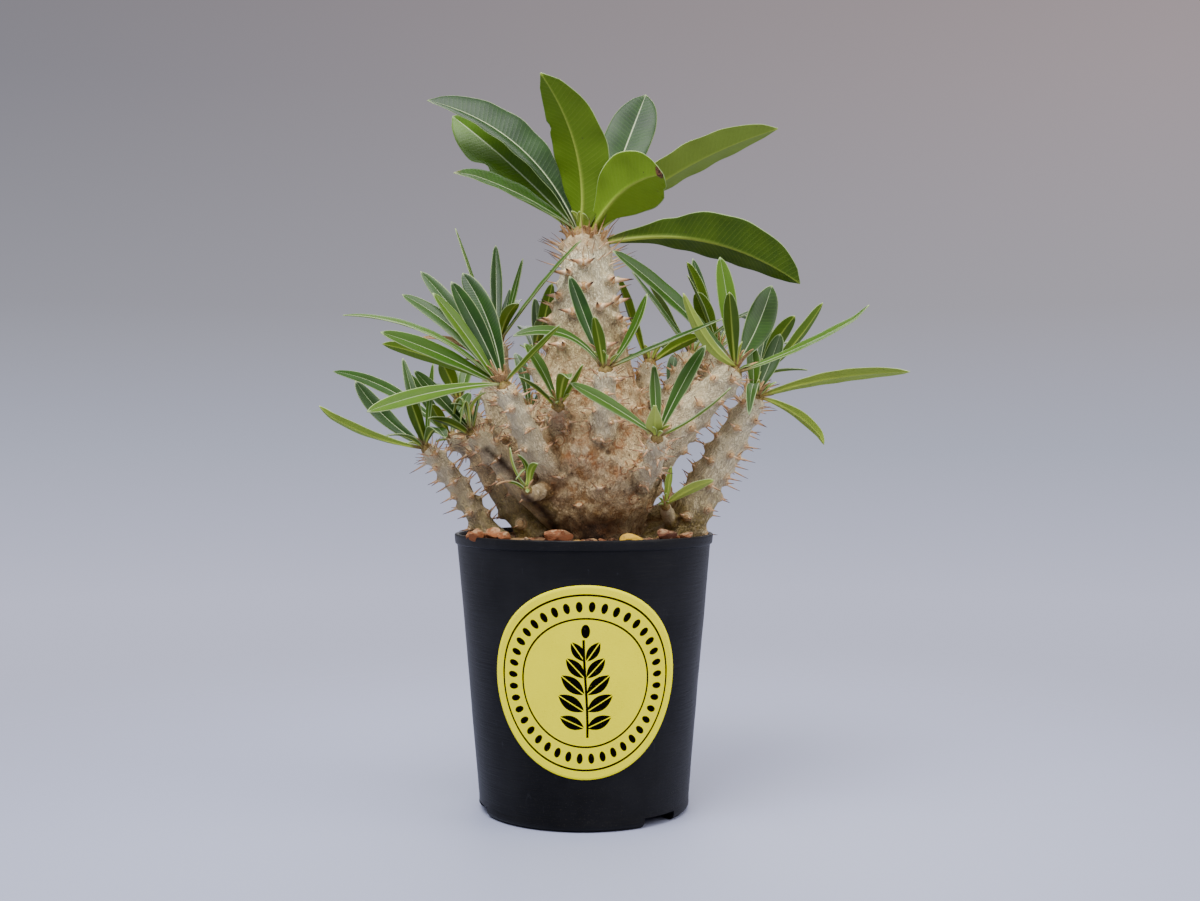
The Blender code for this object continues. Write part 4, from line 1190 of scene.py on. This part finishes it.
def makeBark(knobs):
    shell, samples = barkShell(knobs)
    piece = addPiece("bark", meshOf("bark", [tuple(p) for p in shell.points], shell.faces))
    remesh = piece.modifiers.new("Skin", "REMESH")
    remesh.mode, remesh.voxel_size, remesh.use_smooth_shade = "VOXEL", trunk["voxel"] * mm, True
    soften = piece.modifiers.new("Soften", "SMOOTH")
    soften.factor, soften.iterations = 0.5, 3
    data = baked(piece).data
    points = column(data.vertices, "co").astype(float) / mm
    normals = column(data.vertices, "normal").astype(float)
    ends = column(data.edges, "vertices", 2, np.int32)

    centres, radii, sides, ups, lengths, groups, pale = (
        np.array([tuple(value) if isinstance(value, Vector) else value for value in values])
        for values in zip(*samples))
    nearest = np.empty(len(points), dtype=int)
    batch = 20000
    for start in range(0, len(points), batch):
        away = points[start:start + batch, None] - centres[None]
        nearest[start:start + batch] = np.argmin(
            np.linalg.norm(away, axis=2) - radii[None], axis=1)
    offset = points - centres[nearest]
    sides, ups, lengths = sides[nearest], ups[nearest], lengths[nearest]
    groups, pale = groups[nearest], pale[nearest]
    grain = np.stack([(offset * sides).sum(1) + groups * 37, (offset * ups).sum(1),
                      lengths + (offset * np.cross(sides, ups)).sum(1)], axis=1)
    share = 1 / np.bincount(ends.ravel(), minlength=len(points))

    def spread(values, rounds):  # each value averaged with its neighbours', again and again
        for _ in range(rounds):
            values = share * (np.bincount(ends[:, 0], values[ends[:, 1]], len(points))
                              + np.bincount(ends[:, 1], values[ends[:, 0]], len(points)))
        return values

    def standing(places, rounds=7):  # how far each point stands out of its surroundings
        flat = np.stack([spread(places[:, axis], rounds) for axis in range(3)], axis=1)
        return ((places - flat) * normals).sum(1)

    def near(spots):  # 1 at spots of x, y, z and size, 0 away from them
        total = np.zeros(len(points))
        for *spot, size in spots:
            away = points - spot
            total = np.maximum(total, np.exp(-((away ** 2).sum(1)) / size ** 2))
        return total

    pale = spread(pale, 16)
    belly, onTrunk, rise = 1 - pale, groups == 0, points[:, 2]
    rough = fractal(points, 0.5, 23)
    relief = (fractal(points, 0.07, 3) * (0.5 + 0.9 * belly)
              + fractal(grain * (1, 1, 0.2), 0.42, 11, 4) * (0.25 + 0.2 * belly)
              + rough * 0.12 + fractal(points, 0.15, 41) * 0.7 * belly)
    middle = np.exp(-((points[:, 0] - 5) / 24) ** 2)
    # painted shade in the recess under the caudex; limbs also darker just above the soil
    damp = np.where(onTrunk, ease((140 - rise) / 8) * middle ** 1.4, 0.5 * ease((128 - rise) / 5))
    knob = near([(*(place + out * (0.95 * size - 0.8)), size * 0.9)
                 for place, out, _, size in knobs])
    scar = near(trunk["scars"] + [trunk["stub"]])
    hole = near(trunk["holes"])
    # how far the bark stands out on a broad scale, for painted shade and highlight
    form = spread(standing(points, 60), 10)
    points = points + normals * (relief * (1 - 0.6 * knob) + 0.45 * knob ** 3 - 0.4 * scar
                                 - 1.6 * hole)[:, None]
    data.vertices.foreach_set("co", (points * mm).astype(np.float32).ravel())
    data.update()
    rise = points[:, 2]
    # painted shade of limbs that sit in shadow, stronger lower down, partly their browner bark
    shade = np.array([0.0] + [trunk["shades"].get(key, 0.0) for key in limbs])[groups]
    shade = shade * (0.4 + 0.6 * ease((186 - rise) / 30))
    # painted shadow in the groove between the low left limbs
    gap_shade = gapShadeShare(points, rough) * (points[:, 1] < 8)
    marks = dict(
        pale=pale, knob=knob, scar=scar * (0.6 + 0.5 * rough), hole=hole,
        relief=0.5 + 0.6 * standing(points), form=0.5 + 0.22 * form, dark=spread(shade, 12),
        between=spread(np.where(onTrunk, 4 * pale * (1 - pale), 0.2), 8),
        moss=np.where(onTrunk, 0.35, 1.0) * ease((158 - rise) / 26),
        damp=np.maximum(damp, 0.95 * gap_shade), stain=near(trunk["stains"]),
        crest=ease((rise - 255) / 7) * onTrunk)
    marks = {name: np.clip(values, 0, 1) for name, values in marks.items()}
    setAttributes(data, grain=grain, **marks)
    smooth(data)
    data.materials.append(barkFinish().material)
    finishPiece(piece, "wood", "wood")
    return len(data.polygons)


def thornTree():  # tree that puts a bent cone on each point, as its attributes say
    tree = GeometryTree("tapered thorns", Sides=6, Levels=6, Seed=1)
    cone = tree.node("GeometryNodeMeshCone", None, {
        "Vertices": tree.given("Sides"), "Side Segments": tree.given("Levels"),
        "Radius Top": 0.08, "Radius Bottom": 1.0, "Depth": 1.0})
    x, y, z = tree.split(tree.position())
    slim = 1.0 - z * (1.0 - z) * 0.9
    cone = tree.moved(cone, Position=tree.join(x * slim, y * slim, z))
    cone = tree.store(cone, "along", z, "POINT")
    aim = tree.node("FunctionNodeAlignRotationToVector", dict(axis="Z"),
                    {"Vector": tree.read("aim", "FLOAT_VECTOR")})
    seed, girth, along = tree.given("Seed"), tree.read("girth"), tree.read("along")
    turn = tree.euler(tree.join(0.0, 0.0, tree.random(0.0, 6.28, seed)))
    aim = tree.node("FunctionNodeRotateRotation", dict(rotation_space="LOCAL"),
                    {"Rotation": aim, "Rotate By": turn})
    placed = tree.node("GeometryNodeInstanceOnPoints", None, {
        "Points": tree.given(), "Instance": cone, "Rotation": aim,
        "Scale": tree.join(girth, girth, tree.read("size"))})
    placed = tree.store(placed, "tint", tree.random(0.0, 1.0, seed + 5))
    bent = tree.scaled(tree.read("lean", "FLOAT_VECTOR"), along * along * tree.read("bend"))
    tree.finish(tree.moved(tree.realized(placed), Offset=bent), thornFinish())
    return tree


def makeThorns(thorns):
    sink = thorn["sink"]  # how far a thorn's foot reaches into the bark
    data = meshOf("thorns", [tuple(place - aim * sink) for place, aim, *_ in thorns], [])
    rows = [(tuple(aim), (length + sink) * mm, girth * mm * 1.25, bend * length * 0.5 * mm,
             tuple(lean)) for _, aim, length, girth, bend, lean in thorns]
    setAttributes(data, **dict(zip(("aim", "size", "girth", "bend", "lean"), zip(*rows))))
    piece = addPiece("thorns", data)
    thornTree().put(piece, Sides=5, Levels=6, Seed=3)
    smooth(piece.data)
    finishPiece(piece, "wood", "wood")


spikes = Thorns()
spikes.onTrunk()
for number, limb in enumerate(limbs.values()):
    if not limb.get("bare"):
        spikes.onLimb(number, limb)
print("bark faces", makeBark(spikes.knobs))
makeThorns(spikes.thorns)
print("thorns", len(spikes.thorns))


# Leaves

leaf = {
    "fold": 18.0, "thickness": 0.55, "wave": 0.018, "rowLength": 2.6, "veinGap": 2.2, "rim": 0.5,
    "columns": [-1, -0.95, -0.8, -0.6, -0.4, -0.22, -0.1, -0.045, 0,
                0.045, 0.1, 0.22, 0.4, 0.6, 0.8, 0.95, 1],
    "outlines": [  # widest blade for the outline, then share of width along it
        (6.0, [(0, 0.36), (0.3, 0.85), (0.65, 1), (1, 0.34)]),
        (12.6, [(0, 0.24), (0.26, 0.64), (0.55, 1), (0.82, 0.84), (1, 0.3)]),
        (40.0, [(0, 0.17), (0.16, 0.34), (0.4, 0.84), (0.62, 1), (0.84, 0.76), (1, 0.2)])],
    "marks": ("under", "tone", "vein", "burn", "young", "rib", "red", "rim", "torn"),
    "seat": 2.9, "bud": 4.2, "topBud": 7.0, "stalks": 26,
}


def leafFinish():
    look = Finish("leaf", Specular=0.22)
    u, v, _ = look.split(look.node("ShaderNodeUVMap"))
    s = (u * 2 - 1).abs()
    under, tone, vein, burn, young, rib, red, rim, torn = map(look.attribute, leaf["marks"])
    where = look.place()
    cloud = look.noise(where, 0.07, 4, 0.6).ramp(0.35, 0.7) * 0.4
    fine, blotch = look.noise(where, 1.1, 4, 0.65), look.noise(where, 0.32, 4, 0.7)
    wave = (vein.math("FRACT") - 0.5).abs() * 2
    veins = wave.ramp(0.78, 0.98) * (1 - s.ramp(0.75, 1.0)) * (1 - young)
    dry = (v + blotch * 0.16 + s * 0.03 - (1.08 - burn)).ramp(-0.03, 0.03) * burn.ramp(0.01, 0.03)
    spots = look.noise(where, 0.55, 2, 0.5).ramp(0.735, 0.77) * (0.5 + tone * 0.3)

    def grained(start, end, low, high):
        return look.mix(fine.ramp(start, end), low, high)

    upper = look.coats((14, 44, 2), (tone, (84, 120, 16)), (cloud, (42, 84, 8)),
                       (veins * 0.12, (104, 144, 50)))
    lower = look.coats((58, 84, 6), (tone, (122, 156, 28)), (cloud, (86, 110, 12)),
                       (veins * 0.2, (134, 152, 54)))
    base = look.coats(
        # a tone below 0 darkens the leaf: painted shade on top leaves whose faces catch strong
        # light
        upper, (under, lower), ((0 - tone).max(0), (6, 38, 0)),
        (young.min(0.8), look.mix(under, (128, 164, 50), (184, 196, 92))),
        (fine.ramp(0.4, 0.8) * 0.12, (46, 64, 30)),
        (rib * 0.9, look.mix(under, (222, 236, 188), (172, 188, 74))),
        (rim.ramp(0.3, 0.9) * 0.55, (188, 206, 146)),
        ((1 - v.ramp(0.02, 0.13)) * red,
         grained(0.35, 0.65, (104, 72, 44), (160, 122, 78))),
        (dry, grained(0.3, 0.7, (146, 108, 68), (188, 154, 108))),
        ((torn + fine * 0.3).ramp(0.5, 0.62),
         grained(0.4, 0.6, (44, 28, 20), (120, 80, 52))),
        (spots, (70, 58, 34)))
    look.set(BaseColor=base, Roughness=0.38 + under * 0.2 + fine * 0.1 + dry * 0.3)
    look.bump(wave * 0.25 * (1 - s) + veins * 0.15, 0.3, 0.4)
    return look


def outlineShare(width, t):  # half width of a blade at t along it, as a share of the widest
    stations = next(rows for widest, rows in leaf["outlines"] if width <= widest)
    last = len(stations) - 1
    i = min(sum(t >= place for place, share in stations) - 1, last - 1)
    (t0, s0), (t1, s1) = stations[i], stations[i + 1]

    def slope(k):
        low, high = stations[max(k - 1, 0)], stations[min(k + 1, last)]
        return (high[1] - low[1]) / (high[0] - low[0])

    span = t1 - t0
    w = (t - t0) / span
    share = ((2 * w ** 3 - 3 * w ** 2 + 1) * s0 + (w ** 3 - 2 * w ** 2 + w) * span * slope(i)
             + (3 * w ** 2 - 2 * w ** 3) * s1 + (w ** 3 - w ** 2) * span * slope(i + 1))
    tip = min(1.0, max(1 - t, 0.0) / 0.05) ** 0.55
    return max(share, 0.05) * max(tip, 0.12) * (0.72 + 0.28 * min(1.0, t / 0.08))


class Foliage:  # blades of one crown as arrays of points, faces and shader values
    def __init__(self, seed):
        self.chance = random.Random(seed)
        self.points, self.faces, self.uvs = [], [], []
        self.marks = {name: [] for name in leaf["marks"]}

    def add(self, point, u, v, **marks):
        self.points.append(tuple(point))
        self.uvs.append((u, v))
        for name, values in self.marks.items():
            values.append(marks.get(name, 0.0))
        return len(self.points) - 1

    def blade(self, start, end, width, arch, turn, tone=None, burn=0.0, young=0.0, twist=None,
              hook=0.0, red=0.6, notches=(), torn=(9, 0), spathe=False, fold=None, early=1.0,
              bow=0.0):
        start, end = Vector(start), Vector(end)
        chord = end - start
        size = chord.length
        level = Vector((-chord.y, chord.x, 0)).normalized()
        up = level.cross(chord).normalized()
        up = -up if up.z < 0 else up
        control = (start + end) / 2 + 2 * size * (arch * up + bow * level)
        roll = math.radians(turn) * (1 if chord.x > 0 else -1)
        uniform = self.chance.uniform
        tone = uniform(0.0, 0.55) if tone is None else tone
        twist = math.radians(uniform(-9, 9) if twist is None else twist)
        fold = math.tan(math.radians((fold or leaf["fold"]) * uniform(0.8, 1.1)))
        waves, phase = size / 17, uniform(0, 6.28)
        count = int(min(max(9 + size / leaf["rowLength"], 12), 44))
        ribSize = min(max(0.035 * width + 0.22, 0.3), 1.15)
        veinGap = max(leaf["veinGap"] * min(1.0, width / 16), 1.1)
        last = len(leaf["columns"]) - 1
        rows = []
        for i in range(count + 1):
            t = i / count
            place = (1 - t) ** 2 * start + 2 * t * (1 - t) * control + t * t * end
            along = (2 * (1 - t) * (control - start) + 2 * t * (end - control)).normalized()
            turned = Matrix.Rotation(roll, 3, along)
            side = turned @ (level - level.dot(along) * along).normalized()
            face = along.cross(side)
            flip = face.dot(turned @ up) < 0
            spin = Matrix.Rotation(twist * (t - 0.35), 3, along)
            side, face = spin @ side, spin @ (-face if flip else face)
            if spathe:
                share = 0.25 + 1.2 * math.sin(math.pi * min(t * 0.75 + 0.2, 1)) * (1 - t) ** 0.7
            else:
                share = outlineShare(width, t ** early)
            reach = width / 2 * share
            envelope = math.sin(math.pi * min(t * 1.05, 1.0))
            ribHere = ribSize * (1 - t) ** 0.75 + 0.05
            ribHalf = (0.014 * width + 0.24) * (1 - 0.7 * t)
            tops, bottoms = [], []
            for j, s in enumerate(leaf["columns"]):
                wide = abs(s)
                bite = sum(depth * math.exp(-((t - at) / span) ** 2)
                           for at, which, depth, span in notches if s * which > 0)
                across = s * reach * (1 - bite)
                ripple = leaf["wave"] * width * wide ** 1.6 * envelope * math.sin(
                    6.283 * waves * t + phase + (1.9 if s > 0 else 0))
                rise = (reach * fold * (math.sqrt(wide * wide + 0.004) - 0.063)
                        - 0.1 * reach * wide ** 3 + ripple)
                spot = place + side * across
                spot += face * (rise - hook * size * max(t - 0.86, 0) ** 1.2)
                peak = math.exp(-(across / ribHalf) ** 2)
                crest = math.exp(-(across / (ribHalf * 0.6)) ** 2)
                plump = 0.35 + 0.65 * math.sqrt(max(1 - s * s, 0))
                thick = 0.5 * leaf["thickness"] * plump * (1.5 - 0.6 * t)
                lean = fold * (1 if s > 0 else -1) if s else 0
                normal = (face - side * lean * 0.8).normalized()
                marks = dict(
                    tone=tone, burn=burn, young=young, red=red,
                    vein=(t * size - wide * reach * 0.5) / veinGap if width > 9 else 0.5,
                    rim=max(0.0, 1 - (1 - wide) * reach / leaf["rim"]),
                    torn=math.exp(-((t - torn[0]) / 0.055) ** 2 - ((s - torn[1]) / 0.8) ** 2))
                u = 0.5 + s / 2
                if j in (0, last):
                    tops.append(self.add(spot, u, t, under=0.5, **marks))
                    bottoms.append(tops[-1])
                    continue
                tops.append(self.add(spot + normal * (thick - 0.2 * ribHere * peak), u, t,
                                     under=0.0, rib=crest * (1 - 0.5 * t), **marks))
                bottoms.append(self.add(spot - normal * (thick + ribHere * peak), u, t,
                                        under=1.0, rib=peak * (1 - 0.4 * t), **marks))
            rows.append((tops, bottoms))
        outward = side.cross(along).dot(face) > 0
        for (lowTop, lowBottom), (highTop, highBottom) in zip(rows, rows[1:]):
            for j in range(last):
                top = (lowTop[j], lowTop[j + 1], highTop[j + 1], highTop[j])
                bottom = (lowBottom[j], highBottom[j], highBottom[j + 1], lowBottom[j + 1])
                self.faces += [ring if outward else ring[::-1] for ring in (top, bottom)]
        for row, ahead in ((0, False), (-1, True)):
            tops, bottoms = rows[row]
            ring = tuple(tops + bottoms[-2:0:-1])
            self.faces.append(ring if outward == ahead else ring[::-1])

    def bud(self, foot, along, radius, height, sides=16, rows=8):
        side, up = crossAxes(along)
        rings = []
        for row in range(rows):
            a = math.pi / 2 * row / (rows - 1)
            reach, middle = radius * max(math.cos(a), 0.04), foot + along * height * math.sin(a)
            rings.append([self.add(middle + (side * math.cos(b) + up * math.sin(b)) * reach
                                   * (1 + 0.06 * math.sin(5 * b)), 0.4, 0.02 + 0.06 * row / rows,
                                   under=0.7, tone=0.5, young=0.6, red=0.9)
                          for b in (tau * k / sides for k in range(sides))])
        self.faces += ringFaces(rings) + [tuple(rings[0]), tuple(reversed(rings[-1]))]

    def piece(self, name, look):
        data = meshOf(name, self.points, self.faces)
        loops = column(data.loops, "vertex_index", 1, int).ravel()
        layer = data.uv_layers.new(name="UVMap")
        layer.data.foreach_set("uv", np.array(self.uvs, dtype=np.float32)[loops].ravel())
        setAttributes(data, **self.marks)
        faceOutwards(data)
        return addPiece(name, data, look)


def makeCrown(key, tip, along, radius, leaves, look, seed):
    foliage, top = Foliage(seed), key == "top"
    uniform, blade = foliage.chance.uniform, foliage.blade
    seat = tip + along * leaf["seat"]
    foliage.bud(tip - along * 0.4, along, radius * 0.8, leaf["topBud" if top else "bud"])
    for number, (x, y, z, width, arch, turn) in enumerate(leaves):
        mark = {"arch": arch, "turn": turn, "red": 0.15 if top else 0.8,
                **leafMarks.get((key, number), {})}
        low = mark.pop("low", 0)  # how far down the side of the tip the leaf starts
        width = width * mark.pop("slim", 1)
        reach = Vector((x, y, z)) - seat
        reach = (reach - reach.dot(along) * along).normalized() * (radius * 0.45 + low)
        blade(seat + reach - along * low, (x, y, z), width, **mark)
    side, up = crossAxes(along)
    for k in range(2 if key == "sprout_left" else 7 if radius < 8 else 9):  # small inner leaves
        angle = k * golden + seed
        out = side * math.cos(angle) + up * math.sin(angle)
        length = radius * uniform(0.9, 1.3 if key in ("top", "left_front") else 2.1)
        root = seat + along * 0.4 + out * radius * 0.22
        end = root + (along * 0.9 + out * uniform(0.3, 0.8)).normalized() * length
        dry = not top and k % 2 or key == "left_front"
        blade(root, end, radius * 0.42 + 0.5 - 0.6 * (k % 2), 0.06, uniform(-30, 30),
              **(dict(burn=1.2) if dry else dict(young=0.4, tone=0.4, red=1.0)))
    for k in range(leaf["stalks"] if top else 0):  # dry stalks of fallen leaves
        out = around(k * golden)
        root = tip + out * radius * uniform(0.55, 0.95) - along * uniform(0, 4)
        rise = out * uniform(0.3, 1.0) + along * uniform(0.5, 1.2)
        blade(root, root + rise.normalized() * uniform(5, 8.5), uniform(1.8, 3),
              uniform(-0.2, 0.25), uniform(-40, 40), burn=1.2, hook=0.3)
    for start, end, width, marks in oldLeaves.get(key, ()):
        blade(start, end, width, **{"arch": 0.1, "turn": 0, **marks})
    finishPiece(foliage.piece("foliage_" + key, look), "leaf", "leaves_" + key)


# top leaf 1's high tone is painted light on a leaf in shadow, and a tone below 0 is painted shade
# on a leaf that catches strong light
leafMarks = {  # how single leaves differ: tone from dark to light, dry tip, curled tip, torn edge
    ("top", 0): dict(tone=-0.35, twist=0, fold=33, arch=0.12),
    ("top", 1): dict(tone=0.7, twist=0, notches=[(0.62, 1, 0.35, 0.06)]),
    ("top", 2): dict(tone=0.15, burn=0.015, twist=-4, hook=0.25),
    ("top", 3): dict(tone=0.4, twist=3, early=0.66, bow=0.055, notches=[(0.66, -1, 0.14, 0.03)]),
    ("top", 4): dict(tone=-0.1, twist=0, early=1.3),
    ("top", 5): dict(tone=0.75, twist=0, torn=(0.985, -0.2), notches=[(0.86, 1, 0.2, 0.04)]),
    ("top", 6): dict(tone=0.5, twist=0, young=0.22, turn=-27, early=0.85),
    ("top", 7): dict(tone=-0.05, twist=4, fold=30, arch=0.11, low=5,
                     notches=[(0.33, -1, 0.16, 0.05)]),
    ("sprout_right", 0): dict(tone=0.9, young=0.55, red=0.0),
    ("sprout_right", 1): dict(tone=0.6, young=0.3, red=0.0),
    ("sprout_left", 0): dict(tone=0.1, arch=0.2, red=0.0),
    ("sprout_left", 1): dict(tone=0.1, burn=0.4),
    ("sprout_left", 2): dict(tone=0.6, young=0.1, arch=0.25, red=0.0),
    ("left_front", 3): dict(tone=0.2), ("left_front", 5): dict(tone=0.1),
    ("left_front", 6): dict(tone=0.0), ("left_front", 7): dict(tone=0.0),
    ("left_front", 4): dict(tone=0.5, young=0.1),
    ("left_front", 9): dict(tone=0.55, young=0.08, red=0.3, slim=0.78, early=1.25, turn=58),
    ("left", 1): dict(turn=50, tone=0.15),
    ("left_back", 0): dict(turn=12, tone=0.3, young=0.15, slim=0.6),
    ("left_back", 2): dict(turn=30, tone=0.3), ("left_back", 4): dict(tone=0.6),
    ("low_front", 0): dict(tone=0.4),
    ("low_front", 2): dict(tone=1.0, spathe=True, red=0.0, young=0.95),
    ("far_right", 0): dict(tone=0.8, young=0.35),
    ("far_right", 1): dict(hook=0.5, tone=0.8, young=0.3),
    ("far_left", 0): dict(tone=0.8, hook=-0.3, young=0.2),
    ("right", 1): dict(tone=0.9, red=0.2, young=0.45), ("right", 2): dict(tone=0.5, young=0.15),
    ("right", 3): dict(tone=0.1), ("right", 4): dict(tone=0.1),
    ("right", 5): dict(tone=0.6, hook=-0.35),
}
oldLeaves = {  # dry, withered and curled leaves: from, to, width and how they differ
    "sprout_right": [((38.5, -11, 142), (35, -16, 157), 5, dict(burn=1.2, hook=1.2, turn=30)),
                     ((39, -10, 142), (39.5, -13, 150), 3.5, dict(burn=1.2, hook=0.8))],
    "left_front": [((-38, -40, 199), (-76, -12, 217), 3.4, dict(burn=1.2, arch=0.12, turn=40)),
                   ((-36, -44, 196), (-45, -46, 204), 1.5, dict(burn=1.2, arch=0.1)),
                   ((-34, -44, 197), (-40, -48, 205), 1.4, dict(burn=1.2, arch=-0.1)),
                   ((-36, -41, 197), (-52, -38, 206), 1.8, dict(burn=1.2, arch=0.12)),
                   ((-33, -44, 197), (-34, -50, 203), 1.4, dict(burn=1.2, arch=0.1))],
    "left_inner": [((-52, -18, 177), (-60, -16, 177), 3.4, dict(arch=1.5, tone=0.4, young=0.5)),
                   ((-51, -18, 176), (-56, -20, 176), 2.8, dict(arch=2.2, tone=0.4, young=0.6)),
                   ((-52, -16, 177), (-44, -22, 192), 2.4, dict(arch=0.2, tone=0.7, young=0.5))],
    "sprout_left": [((-24.5, -44, 150), (-31.5, -46, 167), 2.6,
                     dict(arch=-0.1, tone=0.2, young=0.3)),
                    ((-24.5, -44, 150), (-29, -48, 153), 1.6, dict(arch=1.0, tone=0.6, young=0.4))],
    "middle_front": [((9, -41, 203), (3, -47, 212), 2, dict(burn=1.2)),
                     ((11, -41, 203), (16, -46, 211), 2, dict(burn=1.2))],
}


def makeFoliage():
    look = leafFinish()
    height, radius = trunk["rings"][-1]
    tip = Vector((trunk["across"], 0, height))
    makeCrown("top", tip, Vector((0, 0, 1)), radius, topLeaves, look, 1)
    for number, (key, limb) in enumerate(limbs.items()):
        line, radii = limbLine(limb, 2)
        along = (line[-1] - line[-2]).normalized()
        makeCrown(key, line[-1], along, radii[-1], limb["leaves"], look, number + 2)


makeFoliage()
print("foliage")
